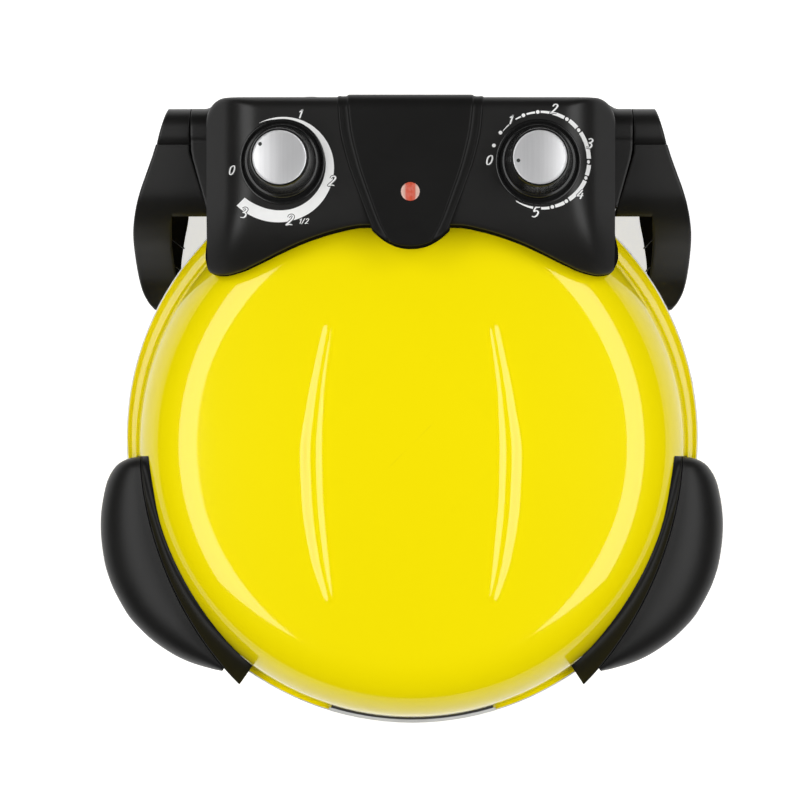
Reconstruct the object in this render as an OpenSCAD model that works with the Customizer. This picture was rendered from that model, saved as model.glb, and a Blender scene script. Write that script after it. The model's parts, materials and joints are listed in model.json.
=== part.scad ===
// Electric pizza maker: a round base with a baking stone, a domed lid on two rear hinge legs,
// and a control console on the lid. The dome axis stands at x = 0, y = dome_y.

/* [Shells] */
// Radius of the lid's flange
lid_r = 175; // [165:1:190]
// How far the base rim stands out past the lid's flange
rim_proud = 0.8; // [0.4:0.1:2]
// Height of the plane where the lid rests on the base
rim_z = 80; // [76:1:90]
// Thickness of pressed sheet metal
sheet = 1; // [0.8:0.1:1.4]
// Width of the lid's flange at the sides
flange_w = 6.2; // [5:0.1:8]
// How far the dome stands towards the front of its flange
dome_shift = 4; // [0:0.5:4.5]
// Lean of the lid wall from the vertical
wall_lean = 12; // [8:1:15]
// Height of the straight part of the lid wall
wall_h = 17; // [12:1:20]
// Radius of the lid's shoulder
shoulder_r = 42; // [36:1:46]
// Slope of the crown where it meets the shoulder
crown_slope = 4; // [3:0.5:6]
// Radius of the bead along the flange's edge
bead_r = 0.6; // [0.4:0.1:0.7]
// Gap between an outer shell and its liner
liner_gap = 6; // [4:0.5:8]
// Half width of the vent cut in the front of the flange
vent_w = 51.4; // [40:0.2:60]
// Width of flange left in front of the dome at the vent
vent_lip = 0.5; // [0.3:0.1:0.6]
// Radial width of the vent gap in the base rim
vent_gap = 2.4; // [1.5:0.1:3]
// Lean of the base wall from the vertical
bowl_lean = 10; // [6:1:14]
// Height of the straight part of the base wall
bowl_wall_h = 18; // [12:1:22]
// Radius between the base wall and its bottom
bowl_corner = 50; // [44:1:54]

/* [Lid ribs] */
// Height of the two embossed crescents
rib_h = 1.6; // [0.8:0.1:2.5]
// Distance of a crescent's outer edge from the middle
rib_x = 64.6; // [58:0.2:70]
// Width of a crescent at its middle
rib_w = 15; // [10:0.5:18]
// Radius of a crescent's outer edge
rib_outer_r = 235; // [200:5:260]
// Radius of a crescent's inner edge
rib_inner_r = 871; // [700:10:1000]
// How far the crescents stand in front of the dome axis
rib_front = 14; // [8:1:20]

/* [Stone and heating] */
// How far inside the lid's edge the baking stone ends
stone_in = 21; // [20:1:35]
// Thickness of the baking stone
stone_t = 10; // [8:1:12]
// Height of the stone's lower face
stone_z = 54; // [52:1:58]
// Radius of a heating element's tube
tube_r = 3.2; // [2.5:0.1:4]
// Radius of the lower element's loop
lower_loop_r = 106; // [100:1:112]
// Height of the lower element
lower_loop_z = 38; // [36:1:42]
// Radius of the upper element's loop
upper_loop_r = 125; // [121:1:128]
// Distance of the upper element above the rim
upper_loop_up = 28; // [24:1:30]
// Half angle left open in each loop
loop_gap = 9; // [7:1:12]
// Radius of the circle of stone posts
post_ring_r = 88; // [70:1:94]
// Radius of a stone post
post_r = 5; // [4:0.5:7]

/* [Hinge] */
// How far behind the lid's edge the hinge axis lies
hinge_out = 11; // [10:0.5:13]
// Height of the hinge axis above the rim
hinge_up = 15; // [14:0.5:17]
// Radius of the hinge pin
pin_r = 4; // [3:0.5:5]
// Radius of the barrels
barrel_r = 13.6; // [12:0.1:14]
// Distance of the seam between barrel and console from the middle
seam_x = 133.5; // [132:0.1:135]
// Outer end of the barrels
barrel_x = 147.5; // [146:0.5:150]
// Side gap at the seam
seam_gap = 0.4; // [0.3:0.1:0.8]

/* [Console] */
// Half width of the console
console_w = 120; // [119:0.5:121]
// How far the console reaches behind the lid's edge
console_out = 31; // [29:1:33]
// Height of the console's top face above the rim
console_up = 78; // [74:1:84]
// Height of the console's lower edge above the rim
console_low = 16; // [15:0.5:20]
// Radius that rounds the console's sides
side_round = 32; // [26:1:36]
// Thickness of moulded plastic
plastic = 2.6; // [2:0.1:3.2]
// Half width of the centre shield at the back
shield_back_w = 42; // [36:0.5:46]
// Half width of the centre shield at the front
shield_front_w = 22; // [18:0.5:24]
// How far the shield stands above the console
shield_proud = 1.4; // [0.8:0.1:2]
// How far inside the lid's edge the shield's tip lies
shield_in = 63; // [59:0.5:65]

/* [Knobs] */
// Distance of the knobs from the middle
knob_x = 74; // [70:0.5:78]
// How far inside the lid's edge the knobs' axes lie
knob_in = 14.5; // [12:0.5:17]
// Radius of the knob's skirt
knob_skirt_r = 21.3; // [19:0.1:22]
// Radius of the knob's grip at the top
knob_grip_r = 16.6; // [16:0.1:18]
// Height of a knob
knob_h = 22.5; // [18:0.5:24]
// Radius of the metal cap
cap_r = 15.4; // [12:0.1:15.8]
// Thickness of the metal cap
cap_t = 1.2; // [0.8:0.1:1.5]
// Radius of the ring round a knob
seat_r = 24.8; // [23:0.1:26]
// Radius of a control shaft
shaft_r = 3; // [2.5:0.25:3.5]
// Radius of the indicator lens
lens_r = 5.4; // [4.5:0.1:6]
// How far inside the lid's edge the lens lies
lens_in = 32; // [29:0.5:35]

/* [Lid handles] */
// Angle of a handle's upper end, measured from the side
handle_from = 5; // [3:1:8]
// Angle of a handle's lower end
handle_to = 54; // [50:1:56]
// Height of the handle's middle above the rim
handle_up = 20; // [18:0.5:24]
// Radius of the handle's swell
handle_swell = 17; // [15:0.5:18]
// How far outside the lid's edge the swell's middle lies
handle_out = 11; // [8:0.5:14]
// Radius of the ridge line, seen from above
ridge_r = 225; // [222:0.5:228]
// Height of the ridge above the rim
ridge_up = 37; // [34:0.5:40]
// Width of the dished inner face
dish_w = 11; // [8:0.5:13]
// Depth of the dished inner face
dish_d = 12; // [9:0.5:14]

/* [Legs] */
// Height of the rubber pads
pad_h = 3; // [2:0.5:5]
// Radius of the rubber pads
pad_r = 7; // [5:0.5:8]
// Height of the front feet
foot_h = 60; // [50:1:64]
// Middle angle of the front feet, measured from the side
foot_angle = 34; // [30:1:38]
// Half angle that a front foot covers
foot_half = 10; // [8:1:12]
// Outer radius of the front feet
foot_r = 182; // [178:1:185]
// Radius of a screw's shank
screw_r = 2; // [1.5:0.1:2.5]

/* [Hidden] */
$fn = 96;

seat = 0.3;        // gap between pieces that lie on each other
run_fit = 0.05;    // radial clearance of a turning fit
snug = 0.02;       // radial clearance of a fixed pin
rim_r = lid_r + rim_proud;
shift = lid_r - 175;  // how far the parts behind the lid move with its radius
stone_r = lid_r - stone_in;
hinge_y = lid_r + hinge_out;
console_back = lid_r + console_out;
knob_y = lid_r - knob_in;
lens_y = lid_r - lens_in;
shield_tip = lid_r - shield_in;
handle_reach = lid_r + handle_out;
dome_y = (rim_r - console_back) / 2;
dome_r = lid_r - flange_w;
bowl_r = dome_r - 0.8;
flange_z = rim_z + sheet;
hinge_z = rim_z + hinge_up;
top_z = rim_z + console_up;
low_z = rim_z + console_low;

yellow = [0.97, 0.87, 0.0];
black = [0.09, 0.09, 0.09];
steel = [0.72, 0.72, 0.73];
dark_steel = [0.35, 0.34, 0.33];

// Outlines: points along an arc, a smooth line through a few points, and an outline moved inwards
function arc(c, r, from, to, n) =
  [for (i = [0:n]) c + r * [cos(from + (to - from) * i / n), sin(from + (to - from) * i / n)]];
function back(p) = [for (i = [len(p) - 1:-1:0]) p[i]];
function unit(v) = v / norm(v);
function knot(p, i) = p[max(0, min(len(p) - 1, i))];
function blend(a, b, c, d, t) =
  0.5 * (2 * b + (c - a) * t + (2 * a - 5 * b + 4 * c - d) * t * t
         + (3 * b - a - 3 * c + d) * t * t * t);
function smooth(p, n) = concat(
  [for (i = [0:len(p) - 2], j = [0:n - 1])
    blend(knot(p, i - 1), p[i], p[i + 1], knot(p, i + 2), j / n)],
  [p[len(p) - 1]]);
function inset(p, d) = [for (i = [0:len(p) - 1])
  let (u = unit(p[i] - p[(i + len(p) - 1) % len(p)]), v = unit(p[(i + 1) % len(p)] - p[i]),
       m = [-u[1], u[0]], n = [-v[1], v[0]])
  p[i] + d * (m + n) / (1 + m * n)];

// The lid's section, t inside its outer face
shoulder_start = [dome_r - wall_h * tan(wall_lean), flange_z + wall_h];
shoulder_c = shoulder_start - shoulder_r * [cos(wall_lean), sin(wall_lean)];
crown_start = shoulder_c + shoulder_r * [sin(crown_slope), cos(crown_slope)];
crown_r = crown_start[0] / sin(crown_slope);
crown_c = [0, crown_start[1] - crown_r * cos(crown_slope)];
function wall_in(z, t) = dome_r - (z - flange_z) * tan(wall_lean) - t / cos(wall_lean);
function dome_line(t, z) = concat(
  [[wall_in(z, t), z]],
  arc(shoulder_c, shoulder_r - t, wall_lean, 90 - crown_slope, 12),
  [for (i = [1:4]) crown_c + (crown_r - t) * [sin(crown_slope * (4 - i) / 4),
                                             cos(crown_slope * (4 - i) / 4)]]);
function crown_z(r, t) = crown_c[1] + sqrt(pow(crown_r - t, 2) - r * r);

// The base's section, t inside its outer face
bowl_top = rim_z - 2 * sheet;
bowl_start = [bowl_r - bowl_wall_h * tan(bowl_lean), bowl_top - bowl_wall_h];
bowl_c = bowl_start - bowl_corner * [cos(bowl_lean), -sin(bowl_lean)];
bowl_z = bowl_c[1] - bowl_corner;
function bowl_line(t, z) = concat(
  [[bowl_r - t / cos(bowl_lean) + (z - bowl_top) * tan(bowl_lean), z]],
  arc(bowl_c, bowl_corner - t, -bowl_lean, -90, 12),
  [[0, bowl_z + t]]);
function liner_z() = bowl_z + liner_gap + sheet;

module at_dome() { translate([0, dome_y, 0]) children(); }
module at_lid() { translate([0, dome_y - dome_shift, 0]) children(); }
module right_left() { children(); mirror([1, 0, 0]) children(); }
module tube_x(r, x0, x1) { translate([x0, 0, 0]) rotate([0, 90, 0]) cylinder(r = r, h = x1 - x0); }
module at_hinge() { translate([0, dome_y + hinge_y, hinge_z]) children(); }
module sector(r0, r1, a0, a1, z0, z1) {
  translate([0, 0, z0]) rotate([0, 0, a0]) rotate_extrude(angle = a1 - a0)
    translate([r0, 0]) square([r1 - r0, z1 - z0]);
}
// A heating loop, open at the back, whose ends bend down into straight legs (up, if flipped)
bend_r = 9;
module loop_ends(r) {
  for (s = [-1, 1]) rotate([0, 0, 90 + s * loop_gap]) translate([r, -s * bend_r, 0]) children();
}
module loop(r, leg) {
  rotate([0, 0, 90 + loop_gap]) rotate_extrude(angle = 360 - 2 * loop_gap)
    translate([r, 0]) circle(r = tube_r);
  for (s = [-1, 1]) rotate([0, 0, 90 + s * loop_gap]) translate([r, 0, -bend_r])
    rotate([0, -90, 0]) rotate([0, 0, s > 0 ? -90 : 0]) rotate_extrude(angle = 90)
      translate([bend_r, 0]) circle(r = tube_r);
  loop_ends(r) translate([0, 0, -leg]) cylinder(r = tube_r, h = leg - bend_r);
}
module loop_holes(r, hole) { loop_ends(r) translate([0, 0, -60]) cylinder(r = hole, h = 120); }
module ring_of(n, from = 0) { for (i = [0:n - 1]) rotate([0, 0, from + 360 * i / n]) children(); }

// A screw: its head starts at the origin, its shank points down
module screw(len, head_h = 2.2) {
  cylinder(r = screw_r * 1.9, h = head_h);
  translate([0, 0, -len]) cylinder(r = screw_r, h = len);
}
module screw_hole(len) { translate([0, 0, -len]) cylinder(r = screw_r + 0.1, h = len + 0.01); }

// ---- Base ----
module bowl_solid(t) { rotate_extrude() polygon(concat(bowl_line(t, bowl_top), [[0, bowl_top]])); }
cover_r = bowl_c[0] + 4;
cover_screw_r = cover_r - 9;
cover_h = 10;
vent_slot_r = 2;
module at_cover_screws() { ring_of(4, 45) translate([cover_screw_r, 0, bowl_z]) children(); }
module at_wall(angle, z) {
  rotate([0, 0, angle]) translate([bowl_line(sheet + seat, z)[0][0], 0, z])
    rotate([0, bowl_lean - 90, 0]) children();
}
leg_screw_len = 12;
leg_screw_angles = [28.7, 31.9];
leg_screw_z = bowl_top - 8;
module at_leg_screws() {
  for (s = [-1, 1], a = leg_screw_angles) at_wall(90 + s * (90 - a), leg_screw_z) children();
}
module at_foot_screws() {
  for (s = [-1, 1], a = [-foot_half / 2, foot_half / 2])
    rotate([0, 0, -90 + s * (90 - foot_angle - a)]) translate([bowl_c[0], 0, bowl_c[1]])
      rotate([0, 45, 0]) translate([bowl_corner - sheet - seat, 0, 0]) rotate([0, -90, 0]) children();
}

module base_shell() {
  color(yellow) at_dome() difference() {
    union() {
      rotate_extrude() polygon(concat(bowl_line(0, bowl_top), back(bowl_line(sheet, bowl_top))));
      translate([0, 0, bowl_top]) difference() {
        cylinder(r = rim_r - sheet, h = sheet);
        translate([0, 0, -1]) cylinder(r = bowl_r - sheet / cos(bowl_lean), h = sheet + 2);
      }
    }
    loop_holes(lower_loop_r, tube_r + 1);
    at_cover_screws() translate([0, 0, -1]) cylinder(r = screw_r + 0.1, h = 5);
    at_leg_screws() screw_hole(leg_screw_len);
    at_foot_screws() screw_hole(leg_screw_len);
    vent_cut();
  }
}

// The gap in the rim under the vent in the lid's flange
module vent_cut() {
  intersection() {
    translate([-vent_w, -rim_r - 1, bowl_top - 1]) cube([2 * vent_w, rim_r, 4 * sheet]);
    difference() {
      translate([0, 0, bowl_top - 1]) cylinder(r = rim_r - 3, h = 4 * sheet);
      translate([0, 0, bowl_top - 2]) cylinder(r = rim_r - 3 - vent_gap, h = 6 * sheet);
    }
  }
}

module base_liner() {
  color(steel) at_dome() difference() {
    union() {
      rotate_extrude() polygon(concat(bowl_line(liner_gap, rim_z - sheet),
                                      back(bowl_line(liner_gap + sheet, rim_z - sheet))));
      translate([0, 0, rim_z - sheet]) difference() {
        cylinder(r = rim_r, h = sheet);
        translate([0, 0, -1])
          cylinder(r = bowl_line(liner_gap + sheet, rim_z - sheet)[0][0], h = sheet + 2);
      }
    }
    loop_holes(lower_loop_r, tube_r + seat);
    vent_cut();
  }
}

module bottom_cover() {
  color(dark_steel) at_dome() difference() {
    translate([0, 0, bowl_z - cover_h]) cylinder(r = cover_r - 4, h = cover_h);
    translate([0, 0, bowl_z - cover_h + sheet]) cylinder(r = cover_r - 4 - sheet, h = cover_h);
    at_cover_screws() translate([0, 0, -20]) cylinder(r = screw_r + 0.1, h = 30);
    ring_of(12) translate([cover_r * 0.45, 0, bowl_z - cover_h - 1]) {
      cylinder(r = vent_slot_r, h = 4);
      translate([cover_r * 0.2, 0, 0]) cylinder(r = vent_slot_r, h = 4);
      translate([0, -vent_slot_r, 0]) cube([cover_r * 0.2, 2 * vent_slot_r, 4]);
    }
  }
  color(dark_steel) at_dome() at_cover_screws() translate([0, 0, -cover_h + sheet]) difference() {
    cylinder(r = screw_r + 2, h = cover_h - sheet);
    translate([0, 0, -1]) cylinder(r = screw_r + 0.1, h = cover_h + 2);
  }
}
module bottom_cover_screws() {
  color(steel) at_dome() at_cover_screws() translate([0, 0, -cover_h]) rotate([180, 0, 0])
    screw(cover_h + sheet + 2);
}

module lower_element() {
  color(dark_steel) at_dome() translate([0, 0, lower_loop_z])
    loop(lower_loop_r, lower_loop_z - bowl_z + cover_h - sheet - 2);
}
module lower_element_clips() {
  color(steel) at_dome() for (a = [-150, -90, -30])
    rotate([0, 0, a]) translate([lower_loop_r, 0, liner_z()]) difference() {
      translate([-4, -5, 0]) cube([8, 10, lower_loop_z - liner_z()]);
      translate([0, -6, lower_loop_z - liner_z()]) rotate([-90, 0, 0])
        cylinder(r = tube_r + 0.1, h = 12);
    }
}
module stone_posts() {
  color(steel) at_dome() ring_of(4, 45) translate([post_ring_r, 0, liner_z()])
    cylinder(r = post_r, h = stone_z - liner_z());
}
module baking_stone() {
  color([0.80, 0.74, 0.66]) at_dome() difference() {
    translate([0, 0, stone_z]) cylinder(r = stone_r, h = stone_t);
    for (s = [-1, 1]) translate([s * (stone_r + 10), 0, stone_z - 1])
      cylinder(r = 22, h = stone_t + 2);
  }
}

// A front foot: a hollow moulded block under the bowl, on its own pad
foot_in_r = bowl_c[0] + 12;
module foot_block(d, z0) {
  sector(foot_in_r + d, foot_r - d, -90 + 90 - foot_angle - foot_half + d / 3,
         -foot_angle + foot_half - d / 3, z0, foot_h - d);
}
module front_foot() {
  color(black) at_dome() difference() {
    union() {
      difference() {
        foot_block(0, pad_h);
        foot_block(plastic, pad_h + plastic);
      }
      intersection() {
        foot_block(0, pad_h);
        difference() {
          bowl_solid(-seat - plastic);
          bowl_solid(-seat);
        }
      }
    }
    bowl_solid(-seat);
    at_foot_screws() screw_hole(leg_screw_len);
  }
}
module right_front_foot() { front_foot(); }
module left_front_foot() { mirror([1, 0, 0]) front_foot(); }
module front_foot_screws() {
  color(steel) at_dome() at_foot_screws() screw(plastic + sheet + 4);
}

leg_pad = [161, 118] + [shift, shift];
module foot_pads() {
  color([0.05, 0.05, 0.05]) at_dome() right_left() {
    rotate([0, 0, -foot_angle]) translate([foot_r - 14, 0, 0]) cylinder(r = pad_r, h = pad_h);
    translate([leg_pad[0], leg_pad[1], 0]) cylinder(r = pad_r, h = pad_h);
  }
}

// ---- Hinge legs ----
leg_in = 146.2;
leg_outline = concat(
  [[seam_x - 9, 134.5 + shift], [leg_in, 134.5 + shift], [leg_in, 100 + shift]],
  arc([0, 0], rim_r + 1.5, 32, 27, 3),
  smooth([for (p = [[164, 80], [170.8, 92], [172.4, 108], [171.5, 124], [166.7, 144],
                    [156, 171], [barrel_x, lid_r - shift + hinge_out + barrel_r]])
            p + [p[1] < 150 ? shift : 0, shift]], 4),
  [[seam_x + seam_gap / 2, hinge_y + barrel_r], [seam_x + seam_gap / 2, 172 + shift],
   [seam_x - 9, 139 + shift]]);
leg_side = concat(
  [[76 + shift, pad_h], [hinge_y + barrel_r - 3, pad_h]],
  [[hinge_y + barrel_r, hinge_z - 12]],
  arc([hinge_y, hinge_z], barrel_r, 0, 90, 6),
  smooth([for (p = [[lid_r - shift + hinge_out - 12, barrel_r - 0.4], [160, 9], [134, -2],
                    [112, -27], [95, -45], [76, -54]]) p + [shift, hinge_z]], 3));
// The wall under the arm leans back from the arm's lip down to the floor
leg_lean = [[100, -60], [134.5 + 0.09 * (hinge_z + 56), -60], [134.5, hinge_z - 4], [100, hinge_z - 4]];
module leg_solid(d, down) {
  difference() {
    intersection() {
      translate([0, 0, -down]) linear_extrude(hinge_z + barrel_r + 5) polygon(inset(leg_outline, d));
      translate([200, 0, -down]) rotate([90, 0, -90]) mirror([1, 0, 0])
        linear_extrude(100) polygon(inset(leg_side, d));
    }
    translate([leg_in + d, shift + d, 0]) rotate([90, 0, -90]) mirror([1, 0, 0])
      linear_extrude(60) polygon(leg_lean);
  }
}
module hinge_leg() {
  color(black) at_dome() difference() {
    union() {
      difference() {
        leg_solid(0, 0);
        difference() {
          leg_solid(plastic, 0);
          translate([0, hinge_y, hinge_z]) tube_x(pin_r + 4, seam_x - 5, barrel_x + 10);
          translate([leg_pad[0], leg_pad[1], 0]) cylinder(r = pad_r - 2, h = 30);
        }
      }
      difference() {
        sector(150, rim_r + 3.5, 27, 33.5, 45, bowl_top - seat);
        bowl_solid(-seat);
      }
      for (y = [6, 21])
        translate([leg_in - 0.8, 100 + shift + y, pad_h]) cube([1, 1.2, hinge_z - 45 + 2 * y]);
    }
    at_leg_screws() screw_hole(leg_screw_len);
    translate([0, hinge_y, hinge_z]) {
      tube_x(pin_r + snug, seam_x - 20, barrel_x + 20);
      tube_x(pin_r + 2.5, barrel_x - 4, barrel_x + 20);
    }
  }
}
module right_hinge_leg() { hinge_leg(); }
module left_hinge_leg() { mirror([1, 0, 0]) hinge_leg(); }
module hinge_leg_screws() {
  color(steel) at_dome() at_leg_screws() screw(leg_screw_len - 1);
}
pin_in = console_w - plastic - 3;
module hinge_pin() {
  color(steel) at_hinge() {
    tube_x(pin_r, pin_in, barrel_x - 4);
    tube_x(pin_r + 2, barrel_x - 4, barrel_x - 2);
  }
}
module right_hinge_pin() { hinge_pin(); }
module left_hinge_pin() { mirror([1, 0, 0]) hinge_pin(); }
module pin_clips() {
  color(dark_steel) at_hinge() right_left() difference() {
    tube_x(pin_r + 2.2, pin_in + 0.6, pin_in + 1.6);
    tube_x(pin_r + snug, pin_in, pin_in + 3);
  }
}

// ---- Lid ----
module dome_solid(t, z) { rotate_extrude() polygon(concat(dome_line(t, z), [[0, z]])); }
module rib_shape() {
  difference() {
    translate([rib_x - rib_outer_r, -rib_front]) circle(r = rib_outer_r);
    translate([rib_x - rib_w - rib_inner_r, -rib_front]) circle(r = rib_inner_r);
  }
}
vent_angle = asin(vent_w / lid_r);
module lid_shell() {
  color(yellow) difference() {
    union() {
      at_lid() rotate_extrude()
        polygon(concat(dome_line(0, flange_z - sheet / 2), back(dome_line(sheet, flange_z - sheet / 2))));
      at_dome() translate([0, 0, rim_z]) cylinder(r = lid_r, h = sheet);
      at_dome() intersection() {
        translate([0, 0, flange_z]) rotate_extrude()
          translate([lid_r - bead_r - seat, 0]) circle(r = bead_r, $fn = 24);
        translate([0, 0, flange_z - sheet / 2]) cylinder(r = lid_r, h = 2 * sheet);
      }
      right_left() intersection() {
        at_dome() translate([0, 0, flange_z + wall_h]) linear_extrude(90) rib_shape();
        at_lid() difference() {
          dome_solid(-rib_h, flange_z + wall_h);
          dome_solid(sheet / 2, flange_z + wall_h - 1);
        }
      }
    }
    at_lid() translate([0, 0, rim_z - 1]) cylinder(r = wall_in(flange_z, sheet), h = sheet + 1);
    at_dome() sector(dome_r + dome_shift + vent_lip, rim_r, -90 - vent_angle, -90 + vent_angle,
                     rim_z - 1, rim_z + 5);
    at_lid() translate([0, 0, rim_z + 80]) loop_holes(upper_loop_r, tube_r + 1);
    at_bracket_screws() screw_hole(9);
    at_handle_screws() screw_hole(14);
  }
}
upper_z = rim_z + upper_loop_up;
liner_low = flange_z + 1;
module lid_liner() {
  color(steel) difference() {
    at_lid() union() {
      rotate_extrude() polygon(concat(dome_line(liner_gap, liner_low),
                                      back(dome_line(liner_gap + sheet, liner_low))));
      translate([0, 0, liner_low]) difference() {
        cylinder(r = wall_in(liner_low + sheet, sheet) - seat, h = sheet);
        translate([0, 0, -1]) cylinder(r = wall_in(liner_low, liner_gap + sheet), h = sheet + 2);
      }
    }
    at_lid() translate([0, 0, rim_z + 80]) loop_holes(upper_loop_r, tube_r + seat);
  }
}
module upper_element() {
  color(dark_steel) at_lid() translate([0, 0, upper_z]) mirror([0, 0, 1])
    loop(upper_loop_r, console_up - upper_loop_up - 14);
}
function liner_under(r) = crown_z(r, liner_gap + sheet);
clip_r = shoulder_c[0] - 2;
module upper_element_clips() {
  color(steel) at_lid() for (a = [-150, -90, -30])
    rotate([0, 0, a]) difference() {
      translate([clip_r - 8, -5, upper_z - 5])
        cube([upper_loop_r - clip_r + 12, 10, liner_under(clip_r) - upper_z + 5 - seat]);
      translate([upper_loop_r, -6, upper_z]) rotate([-90, 0, 0])
        cylinder(r = tube_r + 0.1, h = 12);
      dome_cut();
    }
}
// Everything outside the liner's inner face
module dome_cut() {
  difference() {
    translate([0, 0, upper_z - 20]) cylinder(r = lid_r, h = 80);
    dome_solid(liner_gap + sheet + seat, upper_z - 30);
  }
}

// ---- Console ----
console_front = [for (p = [[24, 124.2], [41, 124.2], [70, 115], [90, 104], [103, 96.5],
                           [110, 94], [116, 97], [console_w, 106]]) p + [0, shift]];
console_half = concat(smooth(console_front, 3),
                      arc([console_w - 12, console_back - 12], 12, 0, 90, 6));
console_outline = concat(console_half, [for (p = back(console_half)) [-p[0], p[1]]]);
console_slope = concat(
  [[90 + shift, low_z], [console_back, low_z]],
  arc([console_back - 15, top_z - 8], 8, 7, 90, 5),
  arc([128 + shift, top_z - 30], 30, 90, 130, 5),
  [[92 + shift, top_z - 32], [86 + shift, top_z - 38]]);
console_across = concat(
  [[-console_w, low_z], [console_w, low_z]],
  arc([console_w - side_round, top_z - side_round], side_round, 0, 90, 12),
  arc([side_round - console_w, top_z - side_round], side_round, 90, 180, 12));
module console_solid(d, down) {
  intersection() {
    translate([0, 0, low_z - down]) linear_extrude(top_z) polygon(inset(console_outline, d));
    translate([-150, 0, -down]) rotate([90, 0, 90]) linear_extrude(300)
      polygon(inset(console_slope, d));
    translate([0, 250, -down]) rotate([90, 0, 0]) linear_extrude(250)
      polygon(inset(console_across, d));
  }
}
gusset = [for (p = [[console_w - plastic, 199], [seam_x - seam_gap / 2, 199],
                    [seam_x - seam_gap / 2, 172], [seam_x - 9.6, 139],
                    [console_w - plastic, 139]]) p + [0, shift]];
module at_knobs() { for (s = [-1, 1]) translate([s * knob_x, knob_y, top_z]) children(); }
module at_floor_screws() {
  for (s = [-1, 1], x = [45, 100])
    translate([s * x, (x > 50 ? 170 : 192) + shift, low_z]) children();
}
bush_r = 4.7;
module console_housing() {
  color(black) at_dome() difference() {
    union() {
      difference() {
        console_solid(0, 0);
        difference() {
          union() {
            console_solid(plastic, 0);
            console_solid(plastic, 6);
          }
          at_floor_screws() translate([0, 0, plastic]) cylinder(r = 5, h = console_up);
          right_left() translate([0, hinge_y, hinge_z])
            tube_x(barrel_r - 4, console_w - 12, console_w);
        }
      }
      right_left() {
        translate([0, hinge_y, hinge_z])
          tube_x(barrel_r, console_w - plastic, seam_x - seam_gap / 2);
        translate([0, 0, low_z]) linear_extrude(barrel_r - 2) polygon(gusset);
      }
    }
    translate([0, -dome_shift, 0]) dome_solid(-seat, rim_z - 5);
    at_knobs() translate([0, 0, -10]) cylinder(r = bush_r + 0.1, h = 20);
    translate([0, lens_y, top_z - 10]) cylinder(r = lens_r - 1, h = 20);
    right_left() translate([0, hinge_y, hinge_z]) tube_x(pin_r + run_fit, 80, seam_x + 5);
    right_left() translate([0, hinge_y, hinge_z])
      tube_x(pin_r + 2.6, console_w - 20, pin_in + 1.9);
    at_floor_screws() cylinder(r = screw_r + 0.1, h = 16);
    translate([gland_x, console_back, gland_z]) rotate([90, 0, 0]) cylinder(r = gland_r, h = 12);
  }
}
shield_plan = [[-shield_front_w, shield_tip + 8], [-13, shield_tip + 1.4], [0, shield_tip],
               [13, shield_tip + 1.4], [shield_front_w, shield_tip + 8],
               [25, shield_tip + 18], [31, shield_tip + 38],
               [shield_back_w, console_back - 14], [-shield_back_w, console_back - 14],
               [-31, shield_tip + 38], [-25, shield_tip + 18]];
module centre_shield() {
  color([0.12, 0.12, 0.12]) at_dome() difference() {
    union() {
      translate([0, 0, top_z + 0.0]) linear_extrude(shield_proud) polygon(shield_plan);
      difference() {
        translate([0, 0, rim_z + 40]) linear_extrude(console_up - 40 + shield_proud)
          intersection() {
            polygon(shield_plan);
            translate([-60, 100 + shift]) square([120, 23.8]);
          }
        translate([0, 0, rim_z + 39]) linear_extrude(console_up - 39 - plastic)
          intersection() {
            polygon(inset(shield_plan, plastic));
            translate([-60, 100 + shift]) square([120, 60]);
          }
      }
    }
    translate([0, -dome_shift, 0]) dome_solid(-seat, rim_z - 5);
    translate([0, lens_y, top_z - 1]) cylinder(r = lens_r + 0.2, h = 20);
  }
}
floor_z = low_z;
module console_floor() {
  color(dark_steel) at_dome() difference() {
    intersection() {
      translate([0, 0, floor_z]) linear_extrude(sheet)
        polygon(inset(console_outline, plastic + seat));
      translate([-150, 120 + shift, 0]) cube([300, 82, 200]);
    }
    translate([0, -dome_shift, 0]) dome_solid(-1.6, rim_z - 5);
    at_floor_screws() translate([0, 0, -1]) cylinder(r = screw_r + 0.1, h = 8);
    right_left() translate([0, hinge_y, hinge_z])
      tube_x(barrel_r - 4 + seat, console_w - 14, console_w + 30);
  }
}
module floor_screws() {
  color(steel) at_dome() at_floor_screws() rotate([180, 0, 0]) screw(10);
}

// A steel bracket that carries the console floor on the lid's wall
bracket_w = 60;
bracket_angle = 12;
bracket_tilt = asin((floor_z + 8 - shoulder_c[1]) / shoulder_r);
module at_bracket_screws() {
  at_lid() for (a = [90 - bracket_angle, 90 + bracket_angle]) rotate([0, 0, a])
    translate([shoulder_c[0], 0, shoulder_c[1]]) rotate([0, -bracket_tilt, 0])
      translate([shoulder_r - sheet - seat, 0, 0]) rotate([0, -90, 0]) children();
}
module lid_bracket() {
  color(steel) difference() {
    union() {
      at_dome() intersection() {
        translate([-bracket_w, 140 + shift, floor_z + sheet]) cube([2 * bracket_w, 54, 1.5]);
        translate([0, -dome_shift, 0]) difference() {
          cylinder(r = 260, h = 200);
          dome_solid(-seat, rim_z - 5);
        }
      }
      at_lid() intersection() {
        difference() {
          dome_solid(-seat - 1.5, rim_z - 5);
          dome_solid(-seat, rim_z - 6);
        }
        translate([-bracket_w, 100 + shift, floor_z + sheet]) cube([2 * bracket_w, 120, 16]);
      }
    }
    at_bracket_screws() screw_hole(9);
    at_dome() at_floor_screws() translate([0, 0, -1]) cylinder(r = 5.6, h = 12);
  }
}
module bracket_screws() { color(steel) at_bracket_screws() screw(6); }

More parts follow.
